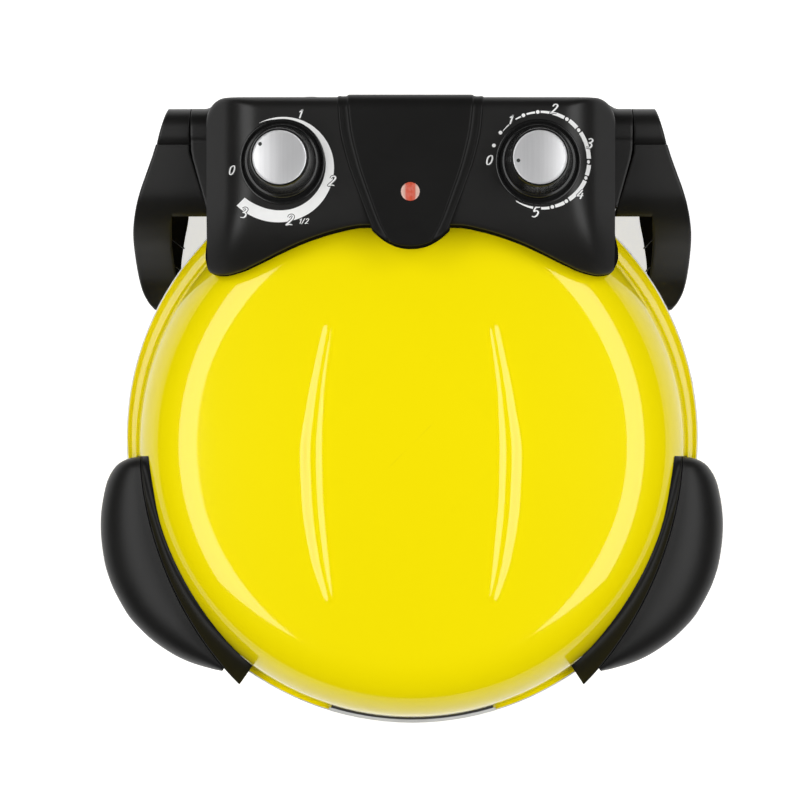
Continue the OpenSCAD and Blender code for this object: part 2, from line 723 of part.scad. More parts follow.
module knob_seats() {
  color([0.06, 0.06, 0.06]) at_dome() at_knobs() difference() {
    cylinder(r = seat_r, h = 1);
    translate([0, 0, -1]) cylinder(r = bush_r + 0.1, h = 5);
    translate([0, 0, 0.4]) cylinder(r = knob_skirt_r + 0.8, h = 5);
  }
}
module control_body(side, w) {
  at_dome() translate([side * knob_x, knob_y, top_z - plastic]) difference() {
    union() {
      translate([-w / 2, -w / 2, -22]) cube([w, w, 16]);
      translate([0, 0, -7]) cylinder(r = 8, h = 7 - seat);
      translate([0, 0, -7]) cylinder(r = bush_r, h = 7 + plastic + 1);
    }
    translate([0, 0, -20]) cylinder(r = shaft_r + run_fit, h = 40);
  }
}
module thermostat_body() { color([0.85, 0.82, 0.75]) control_body(-1, 30); }
module timer_body() { color(steel) control_body(1, 38); }
module control_nuts() {
  color(steel) at_dome() at_knobs() translate([0, 0, 0.4]) difference() {
    cylinder(r = 7, h = 0.6 + 0.6, $fn = 6);
    translate([0, 0, -1]) cylinder(r = bush_r + 0.05, h = 5);
  }
}
module indicator_lens() {
  color([0.9, 0.25, 0.12, 0.8]) at_dome() translate([0, lens_y, top_z]) {
    intersection() {
      cylinder(r = lens_r, h = 5);
      translate([0, 0, -16]) sphere(r = 18);
    }
    translate([0, 0, -plastic - 4]) cylinder(r = lens_r - 1.1, h = plastic + 4);
  }
}
module neon_lamp() {
  color([0.95, 0.55, 0.3]) at_dome() translate([0, lens_y, top_z - plastic - 4 - 14])
    cylinder(r = 2.6, h = 14);
}
module lamp_holder() {
  color([0.9, 0.9, 0.88]) at_dome() translate([0, lens_y, top_z - plastic - 4 - 18]) difference() {
    cylinder(r = 4.6, h = 18 + 3.5);
    translate([0, 0, 4]) cylinder(r = 2.6 + snug, h = 14);
    translate([0, 0, 18]) cylinder(r = lens_r - 1.1 + snug, h = 10);
  }
}
module terminal_block() {
  color([0.88, 0.88, 0.84]) at_dome() translate([0, 176 + shift, floor_z + sheet + 1.5]) difference() {
    translate([-24, -8, 0]) cube([48, 16, 14]);
    for (x = [-16, 0, 16]) translate([x, -9, 7]) rotate([-90, 0, 0]) cylinder(r = 2.2, h = 18);
  }
}
gland_r = 7;
gland_x = -60;
gland_z = low_z + 14;
module cord_gland() {
  color([0.07, 0.07, 0.07]) at_dome() translate([gland_x, console_back, gland_z]) difference() {
    union() {
      translate([0, -2, 0]) rotate([90, 0, 0]) cylinder(r = gland_r - 0.1, h = 8);
      translate([0, -6, 0]) rotate([90, 0, 0]) cylinder(r = gland_r + 2, h = 3);
    }
    translate([0, 2, 0]) rotate([90, 0, 0]) cylinder(r = 3.6, h = 20);
  }
}

// ---- Lid handles ----
// Places along the handle's swell: share of its length, share of its radius, and how far the
// middle lies inside the full reach
swell_steps = [[0.04, 0.53, 11], [0.16, 0.76, 5.5], [0.31, 0.94, 2], [0.49, 1, 0],
               [0.65, 0.88, 0.4], [0.82, 0.59, 4], [0.94, 0.3, 9]];
module handle_swell(d, down) {
  hull() for (s = swell_steps)
    rotate([0, 0, -handle_from - (handle_to - handle_from) * s[0]])
      translate([handle_reach - s[2], 0, rim_z + handle_up - down])
        sphere(r = handle_swell * s[1] - d, $fn = 32);
}
ridge_z = rim_z + ridge_up;
ridge_c = [dome_r - 5.5 - ridge_r, 4.6];
module at_ridge() { translate([ridge_c[0], ridge_c[1], 0]) children(); }
handle_low = rim_z + 4;
module handle() {
  color(black) at_dome() difference() {
    union() {
      difference() {
        handle_swell(0, 0);
        handle_swell(plastic, 0);
        handle_swell(plastic, 14);
      }
      translate([0, -dome_y, 0]) at_handle_screws([1]) translate([0, 0, -12])
        cylinder(r = 5, h = 12);
    }
    translate([0, -300, handle_low - 60]) cube([300, 400, 60]);
    at_ridge() translate([0, 0, rim_z - 10]) cylinder(r = ridge_r + seat, h = 90);
    translate([0, -dome_shift, 0]) dome_solid(-seat, rim_z - 5);
    translate([0, -dome_y, 0]) at_handle_screws([1]) screw_hole(14);
  }
}
module right_handle() { handle(); }
module left_handle() { mirror([1, 0, 0]) handle(); }

plate_low = flange_z + 1.2;
module handle_plate() {
  color([0.11, 0.11, 0.11]) at_dome() difference() {
    intersection() {
      sector(120, ridge_r, -handle_to - 1, -handle_from + 1, plate_low, ridge_z);
      at_ridge() cylinder(r = ridge_r, h = ridge_z);
    }
    translate([0, -dome_shift, 0]) dome_solid(-seat, rim_z - 5);
    at_ridge() translate([0, 0, ridge_z - dish_d])
      cylinder(r1 = ridge_r - dish_w, r2 = ridge_r - 1, h = dish_d + 0.01);
    translate([0, -dome_y, 0]) at_handle_screws() screw_hole(14);
  }
}
module right_handle_plate() { handle_plate(); }
module left_handle_plate() { mirror([1, 0, 0]) handle_plate(); }
module at_handle_screws(sides = [-1, 1]) {
  at_lid() for (s = sides, a = [16, 42]) rotate([0, 0, -90 + s * (90 - a)])
    translate([wall_in(flange_z + 8, sheet + seat), 0, flange_z + 8])
      rotate([0, -90 - wall_lean, 0]) children();
}
module handle_screws() { color(steel) at_handle_screws() screw(9); }

// ---- Knobs ----
knob_z = top_z + 1.6;
module knob_body(side) {
  at_dome() translate([side * knob_x, knob_y, knob_z]) difference() {
    union() {
      cylinder(r = knob_skirt_r, h = 3.2);
      translate([0, 0, 3.2]) cylinder(r1 = knob_skirt_r - 1.6, r2 = knob_grip_r, h = knob_h - 3.2);
    }
    translate([0, 0, -1]) cylinder(r = 9, h = 5);
    translate([0, 0, -1]) cylinder(r = shaft_r + snug, h = knob_h - 3);
    translate([0, 0, knob_h - cap_t + 0.2]) cylinder(r = cap_r + snug, h = 5);
  }
}
module knob_cap(side) {
  at_dome() translate([side * knob_x, knob_y, knob_z + knob_h - cap_t + 0.2]) difference() {
    cylinder(r = cap_r, h = cap_t);
    rotate([0, 0, 150]) translate([cap_r * 0.82, 0, cap_t - 0.3]) cylinder(r = 0.9, h = 1);
  }
}
module knob_shaft(side) {
  at_dome() translate([side * knob_x, knob_y, top_z - plastic - 20])
    cylinder(r = shaft_r, h = 20 + plastic + 1.6 + knob_h - 4.5);
}
module temp_knob() { color(black) knob_body(-1); }
module timer_knob() { color(black) knob_body(1); }
module temp_knob_cap() { color([0.8, 0.8, 0.8]) knob_cap(-1); }
module timer_knob_cap() { color([0.8, 0.8, 0.8]) knob_cap(1); }
module temp_shaft() { color(steel) knob_shaft(-1); }
module timer_shaft() { color(steel) knob_shaft(1); }

base_shell();
base_liner();
bottom_cover();
bottom_cover_screws();
lower_element();
lower_element_clips();
stone_posts();
baking_stone();
left_front_foot();
right_front_foot();
front_foot_screws();
foot_pads();
left_hinge_leg();
right_hinge_leg();
hinge_leg_screws();
left_hinge_pin();
right_hinge_pin();
pin_clips();
lid_shell();
lid_liner();
upper_element();
upper_element_clips();
console_housing();
centre_shield();
console_floor();
floor_screws();
lid_bracket();
bracket_screws();
knob_seats();
thermostat_body();
timer_body();
control_nuts();
indicator_lens();
neon_lamp();
lamp_holder();
terminal_block();
cord_gland();
left_handle();
right_handle();
left_handle_plate();
right_handle_plate();
handle_screws();
temp_knob();
temp_knob_cap();
temp_shaft();
timer_knob();
timer_knob_cap();
timer_shaft();
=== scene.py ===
import json
import math
import bpy
import bmesh
import numpy as np
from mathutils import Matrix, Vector


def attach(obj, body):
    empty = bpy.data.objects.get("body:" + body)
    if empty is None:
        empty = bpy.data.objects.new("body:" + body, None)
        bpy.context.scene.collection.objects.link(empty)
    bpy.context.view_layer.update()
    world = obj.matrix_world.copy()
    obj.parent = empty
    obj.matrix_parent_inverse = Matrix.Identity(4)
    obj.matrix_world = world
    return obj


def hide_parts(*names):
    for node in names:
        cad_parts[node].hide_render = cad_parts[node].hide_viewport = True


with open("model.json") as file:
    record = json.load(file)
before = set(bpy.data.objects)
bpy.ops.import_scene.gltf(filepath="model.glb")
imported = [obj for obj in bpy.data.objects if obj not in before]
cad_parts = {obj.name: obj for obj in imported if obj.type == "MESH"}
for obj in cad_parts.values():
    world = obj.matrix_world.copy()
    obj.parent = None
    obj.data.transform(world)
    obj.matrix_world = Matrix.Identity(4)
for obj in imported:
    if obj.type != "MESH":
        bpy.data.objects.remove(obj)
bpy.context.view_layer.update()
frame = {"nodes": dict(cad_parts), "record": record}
nodes = frame["nodes"]
print("frame loaded:", len(nodes), "nodes")

# sizes below are in millimetres from the base's axis, as the part's source has them
lidAxisY = -15.1   # where that axis lies in the shared frame
rimZ = 80.0
topZ = 158.0       # top of the console

camera = dict(x=18.9, y=22.76, height=1300.0, width=492.0, axisPixel=443)
cam = bpy.data.objects.new("topCamera", bpy.data.cameras.new("topCamera"))
bpy.context.scene.collection.objects.link(cam)
cam.location = (camera["x"] / 1000, (camera["y"] + lidAxisY) / 1000, (rimZ + camera["height"]) / 1000)
cam.rotation_euler = (0, 0, 0)
cam.data.sensor_width = 36
cam.data.lens = 36 * camera["height"] / camera["width"]
cam.data.shift_x = (400 - camera["axisPixel"]) / 800
cam.data.clip_end = 20
bpy.context.scene.camera = cam
bpy.context.scene.view_settings.view_transform = "Standard"

# a large soft panel at each side, leaving the zenith and the horizon dark
panel = dict(distance=1.55, lean=29.6, width=0.82, length=1.95, x=0.13, y=0.05, z=0.12, watts=17.7)
for side in (-1, 1):
    lamp = bpy.data.lights.new("softPanel", "AREA")
    lamp.shape = "RECTANGLE"
    lamp.size, lamp.size_y, lamp.energy = panel["width"], panel["length"], panel["watts"]
    holder = bpy.data.objects.new("softPanel", lamp)
    bpy.context.scene.collection.objects.link(holder)
    tip = math.radians(panel["lean"])
    holder.location = (side * (panel["x"] + panel["distance"] * math.sin(tip)), panel["y"],
                       panel["z"] + panel["distance"] * math.cos(tip))
    holder.rotation_euler = (0, side * tip, 0)
    holder.visible_camera = False

room = dict(ambient=0.14, overhead=0.0, walls=1.0)
world = bpy.data.worlds.new("studio")
bpy.context.scene.world = world
world.use_nodes = True
wn, wl = world.node_tree.nodes, world.node_tree.links
wn.clear()
out = wn.new("ShaderNodeOutputWorld")
path = wn.new("ShaderNodeLightPath")
coord = wn.new("ShaderNodeTexCoord")
split = wn.new("ShaderNodeSeparateXYZ")
wl.new(coord.outputs["Generated"], split.inputs[0])
ramp = wn.new("ShaderNodeMapRange")          # the studio is white low down and dark overhead
ramp.interpolation_type = "SMOOTHSTEP"
ramp.inputs["From Min"].default_value, ramp.inputs["From Max"].default_value = 0.0, 0.07
ramp.inputs["To Min"].default_value, ramp.inputs["To Max"].default_value = room["walls"], room["overhead"]
wl.new(split.outputs["Z"], ramp.inputs["Value"])
soft = wn.new("ShaderNodeBackground"); soft.inputs["Strength"].default_value = room["ambient"]
seen = wn.new("ShaderNodeBackground")
wl.new(ramp.outputs[0], seen.inputs["Strength"])
white = wn.new("ShaderNodeBackground"); white.inputs["Strength"].default_value = 1.0
for b in (soft, seen, white):
    b.inputs["Color"].default_value = (1, 1, 1, 1)
gloss = wn.new("ShaderNodeMath"); gloss.operation = "MAXIMUM"
wl.new(path.outputs["Is Glossy Ray"], gloss.inputs[0])
wl.new(path.outputs["Is Transmission Ray"], gloss.inputs[1])
mixA = wn.new("ShaderNodeMixShader")
mixB = wn.new("ShaderNodeMixShader")
wl.new(gloss.outputs[0], mixA.inputs[0]); wl.new(soft.outputs[0], mixA.inputs[1]); wl.new(seen.outputs[0],
        mixA.inputs[2])
wl.new(path.outputs["Is Camera Ray"], mixB.inputs[0]); wl.new(mixA.outputs[0],
        mixB.inputs[1]); wl.new(white.outputs[0], mixB.inputs[2])
wl.new(mixB.outputs[0], out.inputs["Surface"])
print("camera and light placed")


def newGroup(name, ins, outs):
    g = bpy.data.node_groups.new(name, "ShaderNodeTree")
    for label, value in ins:
        s = g.interface.new_socket(label, in_out="INPUT", socket_type="NodeSocketFloat")
        s.default_value = value
    for label in outs:
        g.interface.new_socket(label, in_out="OUTPUT", socket_type="NodeSocketFloat")
    return g, g.nodes.new("NodeGroupInput"), g.nodes.new("NodeGroupOutput")


def mathNode(tree, kind, a, b=None):
    n = tree.nodes.new("ShaderNodeMath"); n.operation = kind
    for i, v in enumerate((a, b)):
        if v is None:
            continue
        if isinstance(v, (int, float)):
            n.inputs[i].default_value = v
        else:
            tree.links.new(v, n.inputs[i])
    return n.outputs[0]


def noiseNode(tree, vector, scale, detail=3.0, rough=0.55, distort=0.0):
    n = tree.nodes.new("ShaderNodeTexNoise")
    tree.links.new(vector, n.inputs["Vector"])
    if isinstance(scale, (int, float)):
        n.inputs["Scale"].default_value = scale
    else:
        tree.links.new(scale, n.inputs["Scale"])
    n.inputs["Detail"].default_value = detail
    n.inputs["Roughness"].default_value = rough
    n.inputs["Distortion"].default_value = distort
    return n.outputs["Fac"]


# fine surface grain, with a slow mottle and a mask of handling marks
grainGroup, gi, go = newGroup("surfaceGrain", [("Grain Scale", 1800.0), ("Mottle Scale", 30.0)],
                              ["Height", "Mottle", "Smudge"])
tc = grainGroup.nodes.new("ShaderNodeTexCoord").outputs["Object"]
grainGroup.links.new(noiseNode(grainGroup, tc, gi.outputs["Grain Scale"], 4.0, 0.6), go.inputs["Height"])
grainGroup.links.new(noiseNode(grainGroup, tc, gi.outputs["Mottle Scale"], 3.0, 0.5), go.inputs["Mottle"])
smudge = noiseNode(grainGroup, tc, 55.0, 5.0, 0.65, 1.2)
sm = grainGroup.nodes.new("ShaderNodeMapRange")
sm.interpolation_type = "SMOOTHSTEP"
sm.inputs["From Min"].default_value, sm.inputs["From Max"].default_value = 0.55, 0.78
grainGroup.links.new(smudge, sm.inputs["Value"])
grainGroup.links.new(sm.outputs[0], go.inputs["Smudge"])

# rubbed and chipped edges, from the mesh's own sharpness
wearGroup, gi, go = newGroup("edgeWear", [("Amount", 0.5), ("Break Up", 420.0)], ["Wear"])
geo = wearGroup.nodes.new("ShaderNodeNewGeometry")
tc = wearGroup.nodes.new("ShaderNodeTexCoord").outputs["Object"]
edge = wearGroup.nodes.new("ShaderNodeMapRange")
edge.inputs["From Min"].default_value, edge.inputs["From Max"].default_value = 0.54, 0.64
wearGroup.links.new(geo.outputs["Pointiness"], edge.inputs["Value"])
chips = noiseNode(wearGroup, tc, gi.outputs["Break Up"], 4.0, 0.6)
w = mathNode(wearGroup, "MULTIPLY", edge.outputs[0], chips)
w = mathNode(wearGroup, "MULTIPLY", w, gi.outputs["Amount"])
wearGroup.links.new(w, go.inputs["Wear"])

# long fine lines of brushed or drawn metal
brushGroup, gi, go = newGroup("brushedLines", [("Across", 2600.0), ("Along", 40.0)], ["Height", "Streak"])
tc = brushGroup.nodes.new("ShaderNodeTexCoord").outputs["Object"]
sep = brushGroup.nodes.new("ShaderNodeSeparateXYZ"); brushGroup.links.new(tc, sep.inputs[0])
com = brushGroup.nodes.new("ShaderNodeCombineXYZ")
brushGroup.links.new(mathNode(brushGroup, "MULTIPLY", sep.outputs["X"], gi.outputs["Across"]), com.inputs["X"])
brushGroup.links.new(mathNode(brushGroup, "MULTIPLY", sep.outputs["Y"], gi.outputs["Along"]), com.inputs["Y"])
brushGroup.links.new(mathNode(brushGroup, "MULTIPLY", sep.outputs["Z"], gi.outputs["Across"]), com.inputs["Z"])
brushGroup.links.new(noiseNode(brushGroup, com.outputs[0], 1.0, 3.0, 0.6), go.inputs["Height"])
brushGroup.links.new(noiseNode(brushGroup, com.outputs[0], 0.22, 2.0, 0.5), go.inputs["Streak"])


def placeGroup(tree, group, **values):
    n = tree.nodes.new("ShaderNodeGroup"); n.node_tree = group
    for k, v in values.items():
        n.inputs[k].default_value = v
    return n


def mapValue(tree, value, low, high, start=0.0, stop=1.0):
    n = tree.nodes.new("ShaderNodeMapRange")
    n.inputs["From Min"].default_value, n.inputs["From Max"].default_value = start, stop
    n.inputs["To Min"].default_value, n.inputs["To Max"].default_value = low, high
    tree.links.new(value, n.inputs["Value"])
    return n.outputs[0]


def mixColour(tree, fac, a, b):
    n = tree.nodes.new("ShaderNodeMix"); n.data_type = "RGBA"
    for i, v in ((0, fac), (6, a), (7, b)):
        if isinstance(v, (tuple, list)):
            n.inputs[i].default_value = (*v, 1) if len(v) == 3 else v
        elif isinstance(v, (int, float)):
            n.inputs[i].default_value = v
        else:
            tree.links.new(v, n.inputs[i])
    return n.outputs[2]


def grainNode(tree, fine, mottle):
    return placeGroup(tree, grainGroup, **{"Grain Scale": fine, "Mottle Scale": mottle})


def feed(tree, shader, colour, rough, normal=None):
    for label, value in (("Base Color", colour), ("Roughness", rough), ("Normal", normal)):
        if value is not None:
            tree.links.new(value, shader.inputs[label])


def bumpNode(tree, height, strength, distance, under=None):
    n = tree.nodes.new("ShaderNodeBump")
    n.inputs["Strength"].default_value, n.inputs["Distance"].default_value = strength, distance
    tree.links.new(height, n.inputs["Height"])
    if under is not None:
        tree.links.new(under, n.inputs["Normal"])
    return n.outputs[0]


def blankFinish(name):
    m = bpy.data.materials.new(name)
    m.use_nodes = True
    m.node_tree.nodes.clear()
    shader = m.node_tree.nodes.new("ShaderNodeBsdfPrincipled")
    end = m.node_tree.nodes.new("ShaderNodeOutputMaterial")
    m.node_tree.links.new(shader.outputs[0], end.inputs["Surface"])
    return m, m.node_tree, shader


def mouldedFinish(name, dark, light, rough, worn, grain=1500.0, bump=0.25, depth=0.00004, wear=0.5,
                  coat=0.0, specular=0.5):
    m, t, shader = blankFinish(name)
    g = grainNode(t, grain, 24.0)
    w = placeGroup(t, wearGroup, Amount=wear)
    c = mixColour(t, g.outputs["Mottle"], dark, light)
    r = mathNode(t, "ADD", mapValue(t, g.outputs["Mottle"], rough[0], rough[1]),
                 mathNode(t, "MULTIPLY", g.outputs["Smudge"], -0.06))
    feed(t, shader, mixColour(t, w.outputs["Wear"], c, worn), r, bumpNode(t, g.outputs["Height"], bump, depth))
    shader.inputs["Specular IOR Level"].default_value = specular
    shader.inputs["Coat Weight"].default_value = coat
    return m


def metalFinish(name, dark, light, rough, stain=None, across=2600.0, along=60.0, bump=0.15):
    m, t, shader = blankFinish(name)
    b = placeGroup(t, brushGroup, Across=across, Along=along)
    g = grainNode(t, 900.0, 18.0)
    c = mixColour(t, b.outputs["Streak"], dark, light)
    if stain is not None:
        c = mixColour(t, g.outputs["Smudge"], c, stain)
    r = mathNode(t, "ADD", mapValue(t, b.outputs["Streak"], rough[0], rough[1]),
                 mathNode(t, "MULTIPLY", g.outputs["Smudge"], 0.12))
    feed(t, shader, c, r, bumpNode(t, b.outputs["Height"], bump, 0.00003))
    shader.inputs["Metallic"].default_value = 1.0
    return m


def enamelFinish(name):
    look = dict(dark=(0.93, 0.765, 0.0), light=(0.96, 0.80, 0.0), chip=(0.55, 0.42, 0.02), peel=260.0)
    m, t, shader = blankFinish(name)
    g = grainNode(t, look["peel"], 9.0)
    w = placeGroup(t, wearGroup, Amount=0.25)
    c = mixColour(t, g.outputs["Mottle"], look["dark"], look["light"])
    feed(t, shader, mixColour(t, w.outputs["Wear"], c, look["chip"]),
         mapValue(t, g.outputs["Smudge"], 0.38, 0.46), bumpNode(t, g.outputs["Height"], 0.05, 0.00003))
    shader.inputs["Specular IOR Level"].default_value = 0.04
    shader.inputs["Coat Weight"].default_value = 1.0
    shader.inputs["Coat Roughness"].default_value = 0.07
    return m


yellowEnamel = enamelFinish("yellowEnamel")
blackPlastic = mouldedFinish("blackPlastic", (0.0085, 0.0082, 0.008), (0.013, 0.0126, 0.012), (0.31, 0.38),
                             (0.05, 0.05, 0.05), specular=0.3)
platePlastic = mouldedFinish("platePlastic", (0.0075, 0.0073, 0.007), (0.011, 0.0108, 0.0105), (0.3, 0.38),
                             (0.05, 0.05, 0.05), grain=900.0, bump=0.15, specular=0.12)
gripPlastic = mouldedFinish("gripPlastic", (0.0075, 0.0073, 0.007), (0.0115, 0.0112, 0.0108), (0.34, 0.42),
                            (0.05, 0.05, 0.05), specular=0.22)
# glossier plastic for the knobs and their seats; its darker colour is painted shade for the recess round each knob
glossShadedPlastic = mouldedFinish("glossShadedPlastic", (0.006, 0.006, 0.006), (0.009, 0.009, 0.009), (0.2, 0.26),
                             (0.05, 0.05, 0.05), grain=900.0, bump=0.08, specular=0.35)
# a darker, matt, shineless copy of the black plastic for upright walls: painted shade
shadedWallPlastic = mouldedFinish("shadedWallPlastic", (0.0075, 0.0073, 0.007), (0.011, 0.0108, 0.0105), (0.5, 0.6),
                            (0.03, 0.03, 0.03), specular=0.0)
blackRubber = mouldedFinish("blackRubber", (0.02, 0.02, 0.02), (0.035, 0.034, 0.033), (0.7, 0.82),
                            (0.09, 0.09, 0.085), grain=2200.0, bump=0.3)
palePlastic = mouldedFinish("palePlastic", (0.66, 0.64, 0.57), (0.74, 0.72, 0.66), (0.4, 0.5),
                            (0.8, 0.78, 0.74))
brightSteel = metalFinish("brightSteel", (0.60, 0.60, 0.60), (0.74, 0.74, 0.73), (0.2, 0.32),
                          stain=(0.5, 0.46, 0.38))
linerSteel = metalFinish("linerSteel", (0.62, 0.62, 0.61), (0.86, 0.86, 0.85), (0.42, 0.62),
                         stain=(0.42, 0.38, 0.3), across=160.0, along=160.0, bump=0.3)
darkSteel = metalFinish("darkSteel", (0.22, 0.215, 0.21), (0.34, 0.33, 0.32), (0.35, 0.5),
                        stain=(0.16, 0.13, 0.11))
elementSteel = metalFinish("elementSteel", (0.10, 0.092, 0.086), (0.2, 0.18, 0.165), (0.45, 0.62),
                           stain=(0.20, 0.12, 0.07), across=700.0, along=700.0)
print("finishes ready")


def sideNames(piece, node, side):
    return (piece + "Right", "right_" + node) if side > 0 else (piece + "Left", "left_" + node)


def toRow(points):
    a = np.array(points, float)
    a[:, 1] += lidAxisY
    return a / 1000.0


def meshPiece(name, points, faces, finish, body, stands=(), fixNormals=True, sharp=38.0, merge=True):
    mesh = bpy.data.meshes.new(name)
    mesh.from_pydata([tuple(p) for p in toRow(points)], [], [tuple(int(i) for i in f) for f in faces])
    return finishPiece(name, mesh, finish, body, stands, fixNormals, sharp, merge)


def finishPiece(name, mesh, finish, body, stands=(), fixNormals=True, sharp=38.0, merge=True):
    bm = bmesh.new(); bm.from_mesh(mesh)
    if merge:
        bmesh.ops.remove_doubles(bm, verts=bm.verts, dist=1e-6)
        bmesh.ops.dissolve_degenerate(bm, edges=bm.edges, dist=1e-7)
    if fixNormals:
        bmesh.ops.recalc_face_normals(bm, faces=bm.faces)
    bm.to_mesh(mesh); bm.free()
    mesh.polygons.foreach_set("use_smooth", [True] * len(mesh.polygons))
    mesh.set_sharp_from_angle(angle=math.radians(sharp))
    if finish is not None:
        mesh.materials.clear()
        mesh.materials.append(finish)
    obj = bpy.data.objects.new(name, mesh)
    bpy.context.scene.collection.objects.link(obj)
    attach(obj, body)
    if stands:
        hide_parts(*stands)
    return obj


def paintWallShade(obj, facing=None):
    # upright faces take a darker, matt copy of the plastic with no shine: painted shade, so they stay black when seen
    # at a low angle
    obj.data.materials.append(shadedWallPlastic)
    for p in obj.data.polygons:
        if abs(p.normal.z) < 0.3 and (facing is None or p.normal.x * facing > 0.3):
            p.material_index = 1
    return obj


def gridFaces(nu, nv, start=0, wrapU=False, wrapV=False, flip=False):
    f = []
    for i in range(nu if wrapU else nu - 1):
        for j in range(nv if wrapV else nv - 1):
            a, b = i * nv + j, ((i + 1) % nu) * nv + j
            c, d = ((i + 1) % nu) * nv + (j + 1) % nv, i * nv + (j + 1) % nv
            q = (a + start, b + start, c + start, d + start)
            f.append(q[::-1] if flip else q)
    return f


def loftFaces(n, m):
    # a closed section carried along a path, with both ends shut
    return gridFaces(n, m, wrapV=True) + [tuple(range(m)), tuple((n - 1) * m + j for j in range(m))[::-1]]


def closedBlock(gridX, gridY, top, low, start=0):
    nu, nv = gridX.shape
    pts = [(gridX[i, j], gridY[i, j], top[i, j]) for i in range(nu) for j in range(nv)]
    pts += [(gridX[i, j], gridY[i, j], min(low[i, j], top[i, j] - 0.02)) for i in range(nu) for j in range(nv)]
    n = nu * nv
    f = gridFaces(nu, nv, start) + gridFaces(nu, nv, start + n, flip=True)
    ring = [i * nv for i in range(nu)] + [(nu - 1) * nv + j for j in range(1, nv)]
    ring += [i * nv + nv - 1 for i in range(nu - 2, -1, -1)] + [j for j in range(nv - 2, 0, -1)]
    for k in range(len(ring)):
        a, b = ring[k] + start, ring[(k + 1) % len(ring)] + start
        f.append((a, a + n, b + n, b))
    return pts, f


def roundedSpan(lo, hi, r, middle, steps=5):
    a = np.linspace(0, math.pi / 2, steps)
    edge, drop = r * (1 - np.cos(a)), r * (1 - np.sin(a))
    mid = np.linspace(lo + r, hi - r, middle + 2)[1:-1]
    pos = np.concatenate([lo + edge, mid, (hi - edge)[::-1]])
    return pos, np.concatenate([drop, np.zeros(middle), drop[::-1]])


def smoothLine(keys, x):
    k = np.array(keys, float)
    h, d = np.diff(k[:, 0]), np.diff(k[:, 1]) / np.diff(k[:, 0])
    m = np.zeros(len(k))
    m[0], m[-1] = d[0], d[-1]
    for i in range(1, len(k) - 1):
        if d[i - 1] * d[i] > 0:
            w1, w2 = 2 * h[i] + h[i - 1], h[i] + 2 * h[i - 1]
            m[i] = (w1 + w2) / (w1 / d[i - 1] + w2 / d[i])
    x = np.clip(np.asarray(x, float), k[0, 0], k[-1, 0])
    i = np.clip(np.searchsorted(k[:, 0], x) - 1, 0, len(h) - 1)
    t = (x - k[i, 0]) / h[i]
    return ((2 * t**3 - 3 * t**2 + 1) * k[i, 1] + (t**3 - 2 * t**2 + t) * h[i] * m[i]
            + (-2 * t**3 + 3 * t**2) * k[i + 1, 1] + (t**3 - t**2) * h[i] * m[i + 1])


def ease(a, b, x):
    t = np.clip((np.asarray(x, float) - a) / (b - a), 0, 1)
    return t * t * (3 - 2 * t)


def lathe(profile, cx, cy, turns=96):
    pts, nv = [], len(profile)
    for i in range(turns):
        a = 2 * math.pi * i / turns
        pts += [(cx + r * math.cos(a), cy + r * math.sin(a), z) for r, z in profile]
    return pts, gridFaces(turns, nv, wrapU=True)


def mirrored(points):
    return [(-x, y, z) for x, y, z in points]


lid = dict(root=168.8, shift=4.0, lean=12.0, wall=17.0, shoulder=42.0, crown=4.0, sheet=1.0,
           ventHalf=17.1, ventHeight=11.0)
flangeZ = rimZ + lid["sheet"]
lean, crownA = math.radians(lid["lean"]), math.radians(lid["crown"])
shoulderR, shoulderZ = lid["root"] - lid["wall"] * math.tan(lean), flangeZ + lid["wall"]
shoulderC = (shoulderR - lid["shoulder"] * math.cos(lean), shoulderZ - lid["shoulder"] * math.sin(lean))
crownR = shoulderC[0] + lid["shoulder"] * math.sin(crownA)
crownZ = shoulderC[1] + lid["shoulder"] * math.cos(crownA)
crownBig = crownR / math.sin(crownA)
crownMid = crownZ - crownBig * math.cos(crownA)


def domeHeight(r):
    r = np.asarray(r, float)
    crown = crownMid + np.sqrt(np.maximum(crownBig**2 - r**2, 0))
    arc = shoulderC[1] + np.sqrt(np.maximum(lid["shoulder"]**2 - (r - shoulderC[0])**2, 0))
    wall = flangeZ + (lid["root"] - r) / math.tan(lean)
    return np.where(r < crownR, crown, np.where(r < shoulderR, arc, wall))


rib = dict(height=1.65, fullWidth=15.1, outerRamp=6.6, innerRamp=7.5, fade=6.0,
           outer=[(-98.4, 49.8), (-69.2, 59.6), (-39, 64.3), (-8.8, 65.6), (19.5, 61.5), (69.4, 51.0)],
           inner=[(-98.4, 44.4), (-92, 45.2), (-59.8, 48), (-31.5, 50), (-3.2, 50.5), (25.1, 49.8),
                  (69.4, 44.9)])


def ribLift(x, y):
    x = abs(x)
    if not (-100 < y < 71 and 43 < x < 67):
        return 0.0
    outer, inner = float(smoothLine(rib["outer"], y)), float(smoothLine(rib["inner"], y))
    k = max(0.35, (outer - inner) / rib["fullWidth"])
    ends = ease(-98.6, -98.6 + rib["fade"], y) * (1 - ease(69.6 - rib["fade"], 69.6, y))
    return rib["height"] * k * float(ease(0, rib["outerRamp"] * k, outer - x) * ease(0, rib["innerRamp"] * k,
            x - inner) * ends)


def turnAngles():
    # closer together where the crescents end, and exact at the vent's sides
    stops = [(0, 35, 22), (35, 66, 39), (66, 114, 30), (114, 145, 39), (145, 215, 44), (215, 246, 39),
             (246, 270 - lid["ventHalf"], 4),
             (270 - lid["ventHalf"], 270 + lid["ventHalf"], 21), (270 + lid["ventHalf"], 294, 4),
             (294, 325, 39), (325, 360, 22)]
    return np.radians(np.concatenate([np.linspace(a, b, n + 1)[:-1] for a, b, n in stops]))


